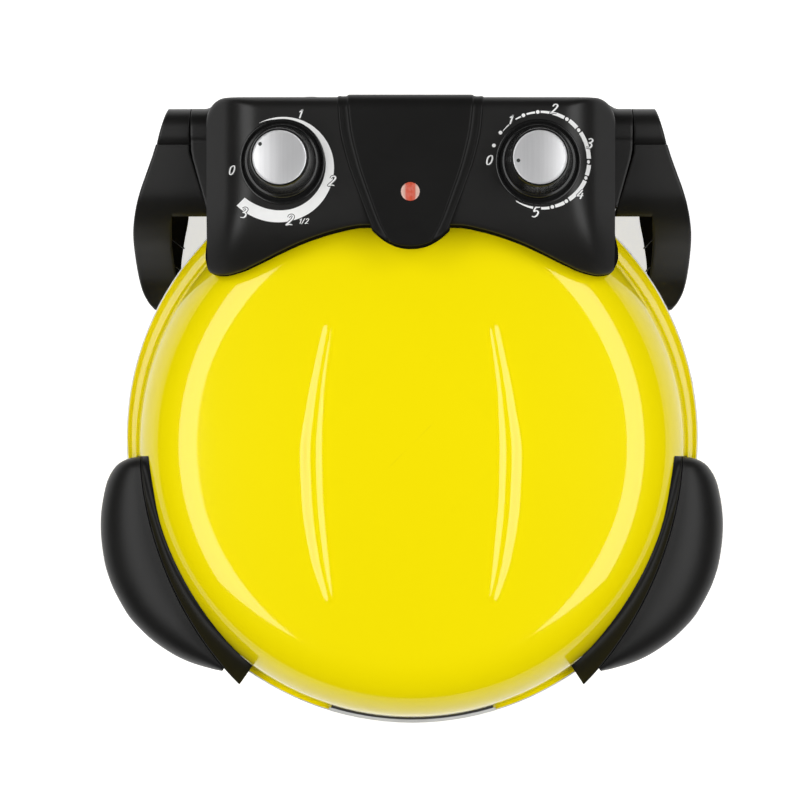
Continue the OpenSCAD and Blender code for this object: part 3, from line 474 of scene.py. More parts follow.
def makeLid():
    angles = turnAngles()
    turns = len(angles)
    radii = np.concatenate([np.linspace(0, 38, 14), np.linspace(39.1, 124, 78), [126, 127.5],
                            [shoulderC[0] + lid["shoulder"] * math.sin(a) for a in np.linspace(crownA + 0.03,
                                    math.pi / 2 - lean, 34)]])
    line = [(r, float(domeHeight(r))) for r in radii]
    lastArc = len(line)
    root = lid["root"]
    for z in (95, 92, 88, 85, 83.4):
        line.append((root - (z - flangeZ) * math.tan(lean), z))
    line += [(root - 0.3, 82.5), (root + 0.0, 81.9), (root + 0.4, 81.5), (root + 0.95, 81.2)]
    flat = len(line)
    flange = [(172.9, 81.05), (173.6, 81.1), (174.0, 81.35), (174.35, 81.55), (174.7, 81.4), (174.95, 81.0),
              (175.0, 80.5)]
    pts = [(0.0, -lid["shift"], line[0][1])]
    rows = line[1:] + flange
    for k, (r, z) in enumerate(rows, 1):
        for a in angles:
            c = -lid["shift"] if k < flat else 0.0
            x, y = r * math.cos(a), r * math.sin(a) + c
            if k >= flat:                  # the flange runs round the base's axis, the dome a little in front
                rr = math.hypot((root + 1.05) * math.cos(a), (root + 1.05) * math.sin(a) - lid["shift"])
                if r < rr:
                    x, y = x * rr / r, y * rr / r
            pts.append((x, y, z + (ribLift(x, y) if k < lastArc - 8 else 0.0)))
    f = [(0, 1 + i, 1 + (i + 1) % turns) for i in range(turns)]
    for k in range(len(rows) - 1):
        for i in range(turns):
            mid = math.degrees((angles[i] + (angles[(i + 1) % turns] if i < turns - 1 else 2 * math.pi)) / 2)
            if abs(mid - 270) < lid["ventHalf"] and rows[k][1] < flangeZ + lid["ventHeight"] and k > 60:
                continue
            a, b = 1 + k * turns + i, 1 + k * turns + (i + 1) % turns
            f.append((a, a + turns, b + turns, b))
    obj = meshPiece("lidDome", pts, f, yellowEnamel, "lid", ("lid_shell",), sharp=60)
    if sum(p.normal.z for p in obj.data.polygons) < 0:
        obj.data.flip_normals()
    wall = obj.modifiers.new("sheet", "SOLIDIFY")
    wall.thickness, wall.offset = lid["sheet"] / 1000 * 0.8, -1
    return obj


makeLid()
print("lid made")


console = dict(half=120.0, back=206.0, low=96.0, side=32.0, edge=1.4)
frontKeys = [(0, 124.6), (28, 124.3), (43, 121.6), (54, 118.4), (66, 114.0), (78, 108.5), (90.4, 102.5),
             (100.6, 98.2),
             (110.8, 96.2), (117.7, 97.5), (121.5, 101.8), (125, 107.9), (126, 110.2)]


def slopeHeight(y):
    y = np.asarray(y, float)
    z = np.full(y.shape, topZ)
    z = np.where(y < 150, topZ - 78 + np.sqrt(np.maximum(78**2 - (150 - y)**2, 100)), z)
    z = np.where(y > 191, 150 + np.sqrt(np.maximum(64 - (y - 191)**2, 0)), z)
    return np.where(y > 198.94, 150.97 - (y - 198.94) * 7.75, z)


def consoleHeight(x, y):
    x, y = np.asarray(x, float), np.asarray(y, float)
    out = np.clip(np.abs(x) - (console["half"] - console["side"]), 0, console["side"])
    side = np.where(out < 20, 29 - np.sqrt(np.maximum(29**2 - out**2, 1)), 8.0 + (out - 20) * 0.952)
    return topZ - np.hypot(side, topZ - slopeHeight(y))


def onDome(x, y, gap=0.35):
    r = np.hypot(x, y + lid["shift"])
    return np.where(r < lid["root"], np.maximum(domeHeight(r) + gap, console["low"]), console["low"])


def makeConsole():
    a = np.linspace(0, math.pi / 2, 26)
    flare = np.array([0.12, 0.3, 0.5, 0.7, 0.85, 1.0])
    half = np.concatenate([np.linspace(0, 88, 40), 88 + 32 * np.sin(a)[1:], 120 + flare])
    spreadOut = np.concatenate([np.zeros(65), flare])
    xs = np.concatenate([-half[::-1], half[1:]])
    outs = np.concatenate([spreadOut[::-1], spreadOut[1:]])
    fa = np.linspace(0, math.pi / 2, 5)
    gridX, gridY, top = [], [], []
    for x, o in zip(xs, outs):
        ax = abs(x) if o == 0 else 120.3 + 5.0 * o
        yf = float(smoothLine(frontKeys, ax))
        k = max(0.0, min(abs(x), 120) - 108)
        yb = console["back"] - (12 - math.sqrt(max(144 - min(k, 12)**2, 0)))
        tail = yb + (np.array([189.5, 191, 192.6, 194.2, 195.7, 197, 198, 198.7, 199.1, 200.2, 202, 204,
                               206]) - 206.0)
        mid = np.linspace(yf + console["edge"], tail[0], 34)
        ys = np.concatenate([yf + console["edge"] * (1 - np.cos(fa))[:-1], mid[:-1], tail])
        drop = np.concatenate([console["edge"] * (1 - np.sin(fa))[:-1], np.zeros(len(ys) - 4)])
        wide = 0.3 + 5.0 * (1 - ease(112.0, 134.2, ys)) if o else 0.0
        gridX.append(np.where(o > 0, math.copysign(1, x) * (120.0 + o * wide), x)); gridY.append(ys)
        z = consoleHeight(np.full(len(ys), min(abs(x), 120)), ys - (yb - console["back"]) * ease(150, 190, ys))
        foot = console["low"] + 0.5
        top.append((z - drop) * (1 - o) + foot * o if o else z - drop)
    gridX, gridY, top = np.array([np.broadcast_to(v,
            gridY[0].shape) for v in gridX]), np.array(gridY), np.array(top)
    low = onDome(gridX, gridY)
    pts, f = closedBlock(gridX, gridY, np.maximum(top, low + 0.05), low)
    # the round bosses that carry the hinge, one at each side, widening into the console's rear corners
    for s in (-1, 1):
        ys = np.concatenate([[139, 139.4, 140.2], np.linspace(142, 168, 8),
                             186 + 13.6 * np.sin(np.linspace(-1.1, math.pi / 2, 26))])
        px, py, pz = [], [], []
        for y in ys:
            xr = 124.0 + (133.3 - 124.0) * min(1.0, max(0.0, (y - 139) / 33.0))
            xr, drop = roundedSpan(112.0, xr, 0.7, 14, 4)
            bump = 95 + math.sqrt(max(13.6**2 - (y - 186)**2, 0)) if y > 172.6 else 0
            z = max(bump, 106.4 if y < 186 else 0)
            dz = 1.0 if y < 139.2 else (0.4 if y < 139.8 else 0.0)
            grow = 5.2 * (1 - ease(113.5, 125.5, xr)) * max(0.0, (y - 186) / 13.6)**2
            px.append(xr); py.append(y + grow); pz.append(np.maximum(z - drop - dz, 95.2))
        q, g = closedBlock(s * np.array(px), np.array(py), np.array(pz), np.full(np.array(px).shape, 94.9),
                           len(pts))
        if s < 0:
            g = [t[::-1] for t in g]
        pts += q; f += g
    return paintWallShade(meshPiece("consoleShell", pts, f, blackPlastic, "lid",
                               ("console_housing",), sharp=32))


makeConsole()

shield = dict(tip=111.8,
              outer=[(111, 22.0), (122.7, 22.8), (130, 25.6), (144.5, 31.2), (162.2, 37.2), (180, 41.1),
                     (198.3, 42.5), (206, 42.8)],
              inner=[(111, 10.0), (117.6, 13.5), (123, 16.6), (141.4, 23.7), (160.2, 30.0), (180.5, 34.6),
                     (198.8, 36.4), (206, 36.8)],
              section=[(0.0, 1.4), (0.775, 1.4), (0.79, 1.3), (0.8, 1.1), (0.815, 0.72), (0.835, 0.56),
                       (0.87, 0.44), (0.915, 0.46), (0.945, 0.6),
                       (0.962, 0.62), (0.978, 0.5), (0.99, 0.28), (1.0, 0.06)])


def makeShield():
    cut = 0.8
    u = np.concatenate([np.linspace(0, 0.76, 18),
                        [0.775, 0.783, 0.79, 0.8, 0.808, 0.815, 0.835, 0.85, 0.87, 0.89, 0.915, 0.93, 0.945,
                         0.955,
                                                   0.962, 0.97, 0.978, 0.985, 0.99, 0.995, 1.0]])
    u = np.concatenate([-u[::-1], u[1:]])
    along = np.concatenate([[0, 0.2, 0.5, 1.0, 1.6], np.linspace(3, 72, 36), np.linspace(74, 79.4, 5),
                            [80.6, 82, 83.4, 84.8, 86.2, 87.6, 89, 92, 98, 108, 114]])
    px, py, pz, lz = [], [], [], []
    for uu in u:
        rowX, rowY, rowZ, baseZ = [], [], [], []
        for s in along:
            if s <= 79.4:                                # along the top
                y0, z0, ny, nz = 111.6 + s, topZ, 0.0, 1.0
            elif s <= 91.9:                              # over the back edge
                t = (s - 79.4) / 8.0
                t = min(t, math.radians(83))
                y0, z0, ny, nz = 191 + 8 * math.sin(t), 150 + 8 * math.cos(t), math.sin(t), math.cos(t)
            else:                                        # down the back
                d = s - 91.0
                y0, z0, ny, nz = 198.94 + d * 0.128, 150.97 - d * 0.99, 0.99, 0.128
            a = abs(uu)
            y = y0
            for _ in range(4):                           # the front edge is an arc: rows fan out from it
                hO, hI = float(smoothLine(shield["outer"], y)), float(smoothLine(shield["inner"], y))
                x = hI * a / cut if a <= cut else hI + (a - cut) / (1 - cut) * (hO - hI)
                yf = shield["tip"] + 11.2 * (x / 23.2)**2.2
                y = yf + (183.6 - yf) * s / 72.0 if s <= 72 else y0
            lift = float(smoothLine(shield["section"], a))
            z = z0
            if s <= 1.6:
                lift -= (0.9, 0.55, 0.25, 0.08, 0.0)[[0, 0.2, 0.5, 1.0, 1.6].index(s)]
                y = yf + s
            z = z - 1.2 * (1 - ease(0, 22, y - 111.6))  # the nose dips a little
            rowX.append(math.copysign(x, uu)); rowY.append(y + ny * max(lift,
                    0.04)); rowZ.append(z + nz * max(lift, 0.04))
            if y < 124.6:
                baseZ.append(float(onDome(x, y, 0.35)))
            else:
                baseZ.append(z - 0.9)
        px.append(rowX); py.append(rowY); pz.append(rowZ); lz.append(baseZ)
    gridX, gridY, gridZ, under = map(np.array, (px, py, pz, lz))
    pts, f = closedBlock(gridX, gridY, gridZ, under)
    n = gridX.size
    # behind the top edge the underside follows the surface inwards, not straight down
    for i in range(gridX.shape[0]):
        for j, s in enumerate(along):
            if s > 79.4:
                k = n + i * gridX.shape[1] + j
                x, y, z = pts[i * gridX.shape[1] + j]
                back = min(1.0, (s - 79.4) / 12.5)
                pts[k] = (x, y - 1.2 * back, z - 0.9 * (1 - back))
    return paintWallShade(meshPiece("centreShield", pts, f, platePlastic, "lid",
                               ("centre_shield",), sharp=30))


makeShield()
print("console made")


leg = dict(padTop=3.0, edge=1.6, wallTop=146.4)
legOuter = [(80, 164.0), (84.4, 167.4), (92, 170.8), (100, 172.1), (108, 172.4), (116, 172.2), (124, 171.5),
            (132, 169.9),
            (140, 167.7), (150, 164.3), (160, 160.3), (171.3, 155.9), (185, 151.6), (199.6, 147.5)]
legInner = [(80, 157.8), (88, 153.0), (96, 147.9), (103, 148.5), (114, 148.6), (124, 147.6), (134, 146.4),
            (140, 146.2)]
legFloor = [(80, 158.0), (96, 151.6), (108, 151.6), (125, 149.6), (143, 146.7), (170, 146.5)]
legTop = [(76, 41.0), (84, 44.4), (95, 50.4), (103, 58), (112, 68.4), (122, 80.6), (134, 92.6), (146, 100.4),
          (160, 104.6), (168, 106.6), (174, 108.0)]


def legHeight(y):
    return 95 + math.sqrt(max(13.6**2 - (y - 186)**2, 0)) if y >= 176.5 else float(smoothLine(legTop, y))


def makeLeg(side):
    a = np.linspace(0, math.pi / 2, 6)
    r1 = leg["edge"]
    ys = np.concatenate([[80, 80.5, 81.4, 82.6], np.linspace(84, 172, 60),
                         186 + 13.6 * np.sin(np.linspace(-1.0, math.pi / 2, 26))])
    px, py, pz = [], [], []
    for y in ys:
        xl, xr = float(smoothLine(legInner, y)), float(smoothLine(legOuter, y))
        r0 = 1.2 * (1 - float(ease(128, 136, y)))
        left, right = xl + r0 * (1 - np.cos(a)), xr - r1 * (1 - np.cos(a))[::-1]
        left = left + np.linspace(0, 0.05, 6)
        x = np.concatenate([left, np.linspace(left[-1], right[0], 16)[1:-1], right])
        drop = np.concatenate([r0 * (1 - np.sin(a)), np.zeros(14), r1 * (1 - np.sin(a))[::-1]])
        if y < 83:
            drop = drop + 1.6 * (1 - ease(80, 82.6, y))
        px.append(x); py.append(np.full(len(x), y)); pz.append(legHeight(y) - drop)
    gridX, gridY, gridZ = map(np.array, (px, py, pz))
    pts, f = closedBlock(gridX, gridY, np.maximum(gridZ, 6.0), np.full(gridX.shape, leg["padTop"]))
    n = gridX.size
    for i in range(n, 2 * n):                    # the inner wall leans outwards on its way down
        x, y, z = pts[i]
        pts[i] = (max(x, float(smoothLine(legFloor, y))), y, z)
    # the arm that reaches in to the hinge, over the window behind the base
    ys = np.concatenate([[134.5, 134.62, 135.0, 135.6, 136.4], np.linspace(138, 172, 22),
                         186 + 13.6 * np.sin(np.linspace(-1.0, math.pi / 2, 26))])
    px, py, pz = [], [], []
    for y in ys:
        xl = 124.5 + max(0.0, min(1.0, (y - 139) / 33.0)) * 9.2
        x = np.concatenate([xl + 0.7 * (1 - np.cos(a)), np.linspace(xl + 1.5, leg["wallTop"] + 1.0, 10)])
        drop = np.concatenate([0.7 * (1 - np.sin(a)), np.zeros(10)]) + 0.9 * (1 - ease(134.5, 136.2, y)) + 0.02
        px.append(x); py.append(np.full(len(x), y)); pz.append(legHeight(y) - drop)
    gridX, gridY, gridZ = map(np.array, (px, py, pz))
    low = np.where(gridY < 172, gridZ - 12, 82.0)
    q, g = closedBlock(gridX, gridY, gridZ, low, len(pts))
    m = gridX.size
    for i in range(m, 2 * m):                    # its front wall leans back under the arm
        x, y, z = q[i]
        q[i] = (x, y + 1.2 * max(0.0, 1 - (y - 134.5) / 6), z)
    pts += q; f += g
    for y in (106.0, 121.0):                     # two moulded lines on the inner wall
        n = len(pts)
        h = float(smoothLine(legTop, y)) - 3
        xt, xb = float(smoothLine(legInner, y)), float(smoothLine(legFloor, y))
        for yy in (y, y + 0.9):
            pts += [(xb + 1, yy, 4), (xb - 0.9, yy, 4), (xt - 0.7, yy, h), (xt + 1, yy, h)]
        f += [(n, n + 1, n + 2, n + 3), (n + 7, n + 6, n + 5, n + 4), (n, n + 4, n + 5, n + 1),
              (n + 1, n + 5, n + 6, n + 2), (n + 2, n + 6, n + 7, n + 3), (n, n + 3, n + 7, n + 4)]
    if side < 0:
        pts = mirrored(pts)
    name, node = sideNames("hingeLeg", "hinge_leg", side)
    return paintWallShade(meshPiece(name, pts, f, blackPlastic, "base", (node,), sharp=34), -side)


for side in (-1, 1):
    makeLeg(side)
print("hinge legs made")


handleOuter = [(3.9, 158.6), (3.97, 163), (4.1, 170.0), (4.6, 175.4), (5.3, 179.4), (6.3, 182.8), (8, 186.6),
               (9.9, 189.4), (15, 195.6),
               (20.2, 200.0), (23.7, 202.2), (27.4, 203.2), (31.4, 203.3), (35.9, 201.3), (41.7, 196.2),
               (45.3, 191.6), (49, 185.2), (50.9, 181.4)]
contactKeys = [(3.9, 157.6), (10, 157.2), (18.2, 158.6), (30, 160.2), (42, 163.2), (50, 166.4), (55.1, 168.4)]
ridgeTop = [(3.9, 107.0), (4.6, 111.2), (6.5, 114.2), (12, 116.2), (20, 116.9), (36, 116.9), (46, 115.6),
            (52, 113.2), (55.1, 110.6)]


def ridgeRadius(a):
    cx, cy, r = -61.7, 4.6, 225.0
    ux, uy = math.cos(a), -math.sin(a)
    b = ux * cx + uy * cy
    return b + math.sqrt(b * b - (cx * cx + cy * cy - r * r))


def clearOfWall(points, gap):
    # what lies over the flange keeps clear of the lid's wall
    clear = []
    for x, y, z in points:
        r = math.hypot(x, y + lid["shift"])
        if z < shoulderZ:
            wall = lid["root"] - (z - flangeZ) * math.tan(lean)
        else:
            wall = shoulderC[0] + math.sqrt(max(lid["shoulder"]**2 - (z - shoulderC[1])**2, 0))
        if r < wall + gap:
            k = (wall + gap) / r
            x, y = x * k, (y + lid["shift"]) * k - lid["shift"]
        clear.append((x, y, z))
    return clear


def makeHandle(side):
    angles = np.concatenate([[3.9, 3.93, 3.97, 4.03, 4.1, 4.3, 4.6, 5.0, 5.5, 6.2, 7.0],
                             np.linspace(8, 46, 48), [47, 48, 49, 49.7, 50.3, 50.7, 50.9]])
    sec = np.concatenate([np.linspace(90, 0, 16), np.linspace(-7, -52, 8)])
    pts, m = [], 0
    for a in angles:
        rr = ridgeRadius(math.radians(a)) + 0.35
        ro = max(float(smoothLine(handleOuter, a)), rr + 0.2)
        if a < 4.1:
            rr = min(rr, ro - 0.2)
        zt = float(smoothLine(ridgeTop, a)) - 0.25
        start = ease(3.9, 6.5, a)
        end = 1 - ease(47.0, 50.9, a) * 0.75
        zm = 94.5 + (zt - 94.5) * 0.35 * (1 - float(start)) + (1 - end) * 6
        w = ro - rr
        loop = []
        for q in sec:
            c, s = math.cos(math.radians(q)), math.sin(math.radians(q))
            if q >= 0:
                loop.append((rr + w * c**0.92, zm + (zt - zm) * s**0.86))
            else:
                loop.append((rr + w * c, zm + (zm - 84.0) * 1.25 * s))
        low = loop[-1][1]
        loop += [(rr + (loop[-1][0] - rr) * 0.5, low), (rr, low), (rr, (low + zt) / 2)]
        m = len(loop)
        co, si = math.cos(math.radians(a)), math.sin(math.radians(a))
        pts += [(r * co, -r * si, z) for r, z in loop]
    f = loftFaces(len(angles), m)
    clear = clearOfWall(pts, 0.35)
    pts = clear if side > 0 else mirrored(clear)
    name, node = sideNames("handle", "handle", side)
    return meshPiece(name, pts, f, gripPlastic, "lid", (node,), sharp=40)


def makeGripPlate(side):
    angles = np.concatenate([[3.9, 4.05, 4.3, 4.7], np.linspace(5.3, 54, 54), [54.6, 54.95, 55.1]])
    pts, m = [], 0
    for a in angles:
        ra = math.radians(a)
        rr, rc = ridgeRadius(ra), float(smoothLine(contactKeys, a))
        rc = min(rc, rr - 1.5)
        zt = float(smoothLine(ridgeTop, a))
        co, si = math.cos(ra), -math.sin(ra)
        rd = math.hypot(rc * co, rc * si + lid["shift"])
        zc = float(domeHeight(rd)) + 0.25
        endDrop = 0.5 * (1 - ease(3.9, 4.3, a)) + 0.5 * ease(54.7, 55.1, a)
        loop = [(rc, zc)]
        lip = 0.9
        for t in (0.14, 0.3, 0.46, 0.6, 0.72, 0.82, 0.9):
            r = rc + (rr - lip - rc) * t
            z = zc + (zt - 0.5 - zc) * t**1.6 - 0.9 * math.sin(math.pi * t)
            loop.append((r, z))
        loop += [(rr - lip, zt - 0.35), (rr - lip * 0.75, zt - 0.08), (rr - lip * 0.4, zt),
                 (rr - 0.16, zt - 0.14), (rr, zt - 0.5)]
        loop = [(r, z - endDrop) for r, z in loop]
        loop += [(rr, 95.0), (rr, 82.6), (rr - 1.2, 82.4)]
        # inner side, along the lid's wall
        for z in (82.4, 90.0, 98.0):
            loop.append((min(rr - 1.0, rc + 9), z))
        m = len(loop)
        pts += [(r * co, r * si, z) for r, z in loop]
    clear = clearOfWall(pts, 0.3)
    f = loftFaces(len(angles), m)
    pts = clear if side > 0 else mirrored(clear)
    name, node = sideNames("gripPlate", "handle_plate", side)
    return meshPiece(name, pts, f, platePlastic, "lid", (node,), sharp=36)


for side in (-1, 1):
    makeHandle(side)
    makeGripPlate(side)
print("handles made")


dial = dict(x=74.0, y=160.5, base=159.6, capBase=21.35, capRim=0.62, capCrown=0.7)
knobLine = [(3.2, 0.4), (8.6, 0.4), (8.6, 0.0), (20.6, 0.0), (21.1, 0.25), (21.3, 0.7), (21.3, 2.2),
            (21.15, 2.8), (20.8, 3.2), (20.2, 3.4), (19.9, 3.5), (19.7, 3.8),
            (19.3, 6.0), (18.6, 9.6), (18.0, 13.0), (17.45, 16.6), (17.0, 19.6), (16.8, 20.8), (16.6, 21.5),
            (16.35, 21.9), (16.0, 22.0), (15.7, 21.95), (15.55, 21.7),
            (15.52, 21.3), (3.2, 21.3)]
seatLine = [(4.9, 0.0), (23.9, 0.0), (23.9, -1.5), (24.75, -1.5), (24.75, 0.45), (24.55, 0.85), (24.1, 1.05),
            (23.3, 1.05), (22.9, 0.92), (22.7, 0.55), (22.5, 0.42), (4.9, 0.42)]
capLine = [(0.0, 0.0), (15.3, 0.0), (15.4, 0.1), (15.4, 0.46), (15.33, 0.6), (15.2, 0.67), (15.0, 0.66),
           (14.8, 0.62)]


def capFinish():
    look = dict(dark=(0.72, 0.72, 0.73), light=(0.86, 0.86, 0.87))
    m, t, shader = blankFinish("capMetal")
    b = placeGroup(t, brushGroup, Across=2400.0, Along=30.0)
    g = grainNode(t, 700.0, 60.0)
    c = mixColour(t, b.outputs["Streak"], look["dark"], look["light"])
    feed(t, shader, c, mapValue(t, g.outputs["Mottle"], 0.34, 0.4),
         bumpNode(t, b.outputs["Height"], 0.05, 0.00002))
    shader.inputs["Metallic"].default_value = 0.9
    return m


capMetal = capFinish()


def turned(name, line, x, y, z, finish, body, stands, turns=128):
    prof = [(r, h + z) for r, h in line]
    pts, f = lathe(prof, x, y, turns)
    m = len(prof)
    if line[0][0] > 0.01:
        f = gridFaces(turns, m, wrapU=True, wrapV=True)
    return meshPiece(name, pts, f, finish, body, stands, sharp=30)


for side, who in ((-1, "temp"), (1, "timer")):
    turned(who + "KnobBody", knobLine, side * dial["x"], dial["y"], dial["base"], glossShadedPlastic,
           who + "_dial", (who + "_knob",))
    prof = capLine + [(r, dial["capRim"] + dial["capCrown"] * (1 - (r / 14.7)**2)) for r in (14.5, 13.6, 12.5,
            11, 9, 7, 5, 3, 1.4, 0.0)]
    turned(who + "CapDisc", prof, side * dial["x"], dial["y"], dial["base"] + dial["capBase"], capMetal,
           who + "_dial", (who + "_knob_cap",))

# the seat rings take the darker gloss plastic: painted shade in the recess round each knob
seatPts, seatFaces = [], []
for side in (-1, 1):
    prof = [(r, h + topZ) for r, h in seatLine]
    q, _ = lathe(prof, side * dial["x"], dial["y"], 128)
    seatFaces += gridFaces(128, len(prof), len(seatPts), wrapU=True, wrapV=True)
    seatPts += q
meshPiece("dialSeats", seatPts, seatFaces, glossShadedPlastic, "lid", ("knob_seats",), sharp=30)
print("dials made")


def printFinish(name, colour, rough=0.5):
    m, t, shader = blankFinish(name)
    g = grainNode(t, 1600.0, 200.0)
    lightC = tuple(min(1.0, v * 1.1 + 0.004) for v in colour)
    feed(t, shader, mixColour(t, g.outputs["Mottle"], colour, lightC),
         mapValue(t, g.outputs["Height"], rough - 0.05, rough + 0.05),
         bumpNode(t, g.outputs["Height"], 0.12, 0.00002))
    return m


whitePrint = printFinish("whitePrint", (0.80, 0.80, 0.79))
darkPrint = printFinish("darkPrint", (0.018, 0.018, 0.018), 0.55)
pxTop = 0.5781      # millimetres for one pixel at the console's top
pxRim = 0.615       # and at the rim


def fromPixel(px, py):
    return (px - camera["axisPixel"]) * pxTop + camera["x"], (400 - py) * pxTop + camera["y"]


def drape(x, y, lift):
    return (x, y, float(consoleHeight(x, y)) + lift)


def crescentStrip(cx, cy, inner, outer, a0, a1, lift, steps=90, across=4):
    pts = []
    for a in np.linspace(a0, a1, steps):
        ri, ro = float(smoothLine(inner, a)), float(smoothLine(outer, a))
        for t in np.linspace(0, 1, across):
            r = ri + (ro - ri) * t
            x, y = fromPixel(cx + r * math.sin(math.radians(a)), cy - r * math.cos(math.radians(a)))
            pts.append(drape(x, y, lift))
    return pts, gridFaces(steps, across)


marks = dict(tempCentre=(280.5, 164.5), timerCentre=(541.5, 160.0))
pts, f = crescentStrip(*marks["tempCentre"], [(-27, 46.4), (0, 45.4), (90, 45.3), (180, 45.6), (205, 46.4),
        (228, 48.8)],
                       [(-27, 46.6), (0, 47.5), (45, 50.4), (90, 53.4), (135, 55.6), (180, 57.2), (205, 58.6),
                        (228, 60.2)], -27, 227.5, 0.07, 130)
allPts, allFaces = list(pts), list(f)
dashes = [(-53, -42.5, 0.7, 1.0), (-32.5, -25.5, 1.2, 1.6), (-18, -7.8, 1.8, 2.1), (-1, 9.5, 2.2, 2.5),
          (10, 28.3, 3.0, 3.5), (35.2, 47.5, 3.9, 4.2),
          (54.6, 87.4, 4.1, 4.4), (94.8, 107.8, 4.2, 4.2), (114.6, 145, 4.2, 4.2), (151.7, 163.3, 3.6, 3.1),
          (170.3, 180.3, 2.8, 2.4), (190, 212, 2.3, 0.8)]
for a0, a1, w0, w1 in dashes:
    pts, f = crescentStrip(*marks["timerCentre"], [(a0, 48.2 - w0 / 2), (a1, 48.0 - w1 / 2)],
                           [(a0, 48.2 + w0 / 2), (a1, 48.0 + w1 / 2)], a0, a1, 0.07, 12, 3)
    allFaces += [tuple(i + len(allPts) for i in q) for q in f]
    allPts += pts
printRing = meshPiece("printedScales", allPts, allFaces, whitePrint, "lid", fixNormals=False,
                      merge=False)
if sum(p.normal.z for p in printRing.data.polygons) < 0:
    printRing.data.flip_normals()


def copiesTree():
    g = bpy.data.node_groups.new("placeCopies", "GeometryNodeTree")
    g.interface.new_socket("Points", in_out="INPUT", socket_type="NodeSocketGeometry")
    for label, kind in (("Copy", "NodeSocketObject"), ("Finish", "NodeSocketMaterial"),
                        ("Size", "NodeSocketFloat"), ("Seed", "NodeSocketInt")):
        g.interface.new_socket(label, in_out="INPUT", socket_type=kind)
    g.interface.new_socket("Result", in_out="OUTPUT", socket_type="NodeSocketGeometry")
    gi, go = g.nodes.new("NodeGroupInput"), g.nodes.new("NodeGroupOutput")
    info = g.nodes.new("GeometryNodeObjectInfo")
    onPoints = g.nodes.new("GeometryNodeInstanceOnPoints")
    aim = g.nodes.new("GeometryNodeInputNamedAttribute"); aim.data_type = "FLOAT_VECTOR"
    aim.inputs["Name"].default_value = "aim"
    turn = g.nodes.new("FunctionNodeAlignRotationToVector"); turn.axis = "Z"
    spin = g.nodes.new("FunctionNodeRandomValue"); spin.data_type = "FLOAT"
    spin.inputs[2].default_value, spin.inputs[3].default_value = 0.0, 6.28
    spinVec = g.nodes.new("ShaderNodeCombineXYZ")
    local = g.nodes.new("FunctionNodeRotateRotation"); local.rotation_space = "LOCAL"
    realize = g.nodes.new("GeometryNodeRealizeInstances")
    setMat = g.nodes.new("GeometryNodeSetMaterial")
    join = g.links.new
    join(gi.outputs["Copy"], info.inputs["Object"])
    join(gi.outputs["Points"], onPoints.inputs["Points"])
    join(info.outputs["Geometry"], onPoints.inputs["Instance"])
    join(aim.outputs["Attribute"], turn.inputs["Vector"])
    join(gi.outputs["Seed"], spin.inputs["Seed"])
    join(spin.outputs[1], spinVec.inputs["Z"])
    join(turn.outputs[0], local.inputs["Rotation"])
    join(spinVec.outputs[0], local.inputs["Rotate By"])
    join(local.outputs[0], onPoints.inputs["Rotation"])
    join(gi.outputs["Size"], onPoints.inputs["Scale"])
    join(onPoints.outputs[0], realize.inputs[0])
    join(realize.outputs[0], setMat.inputs["Geometry"])
    join(gi.outputs["Finish"], setMat.inputs["Material"])
    join(setMat.outputs[0], go.inputs[0])
    return g


copies = copiesTree()


def inputKey(tree, label):
    return [s.identifier for s in tree.interface.items_tree if s.item_type == "SOCKET" and s.in_out == "INPUT"
            and s.name == label][0]


def spread(name, where, aims, copyMesh, finish, body, stands=(), size=1.0, seed=3, rowFrame=False,
           sharp=35):
    mesh = bpy.data.meshes.new(name + "Points")
    mesh.from_pydata([tuple(p) for p in (np.array(where) if rowFrame else toRow(where))], [], [])
    at = mesh.attributes.new("aim", "FLOAT_VECTOR", "POINT")
    at.data.foreach_set("vector", np.array(aims, np.float32).ravel())
    holder = bpy.data.objects.new(name + "Points", mesh)
    copy = bpy.data.objects.new(name + "Copy", copyMesh)
    for o in (holder, copy):
        bpy.context.scene.collection.objects.link(o)
    mod = holder.modifiers.new("copies", "NODES")
    mod.node_group = copies
    mod[inputKey(copies, "Copy")] = copy
    mod[inputKey(copies, "Finish")] = finish
    mod[inputKey(copies, "Size")] = size
    mod[inputKey(copies, "Seed")] = seed
    bpy.context.view_layer.update()
    done = bpy.data.meshes.new_from_object(holder.evaluated_get(bpy.context.evaluated_depsgraph_get()))
    for o in (holder, copy):
        bpy.data.objects.remove(o)
    return finishPiece(name, done, finish, body, stands, fixNormals=False, sharp=sharp, merge=False)


def discMesh(name, r, sides=20):
    mesh = bpy.data.meshes.new(name)
    mesh.from_pydata([(r * math.cos(2 * math.pi * i / sides), r * math.sin(2 * math.pi * i / sides),
                       0) for i in range(sides)], [], [tuple(range(sides))])
    return mesh


dotPlaces = [(-73, 49.8), (-56.3, 49.3), (-22, 48.2), (-4.5, 48.2), (31.8, 48.1), (51, 48.0), (91.2, 47.5),
             (111.2, 48.0), (148.8, 48.0), (166.8, 48.0)]
where = [drape(*fromPixel(marks["timerCentre"][0] + r * math.sin(math.radians(a)),
                          marks["timerCentre"][1] - r * math.cos(math.radians(a))), 0.08) for a, r in dotPlaces]
aims = []
for x, y, z in where:
    e = 0.5
    n = Vector((-(float(consoleHeight(x + e, y)) - float(consoleHeight(x - e, y))),
                -(float(consoleHeight(x, y + e)) - float(consoleHeight(x, y - e))), 2 * e)).normalized()
    aims.append(tuple(n))
spread("timerDots", where, aims, discMesh("dot", 0.00108), whitePrint, "lid")


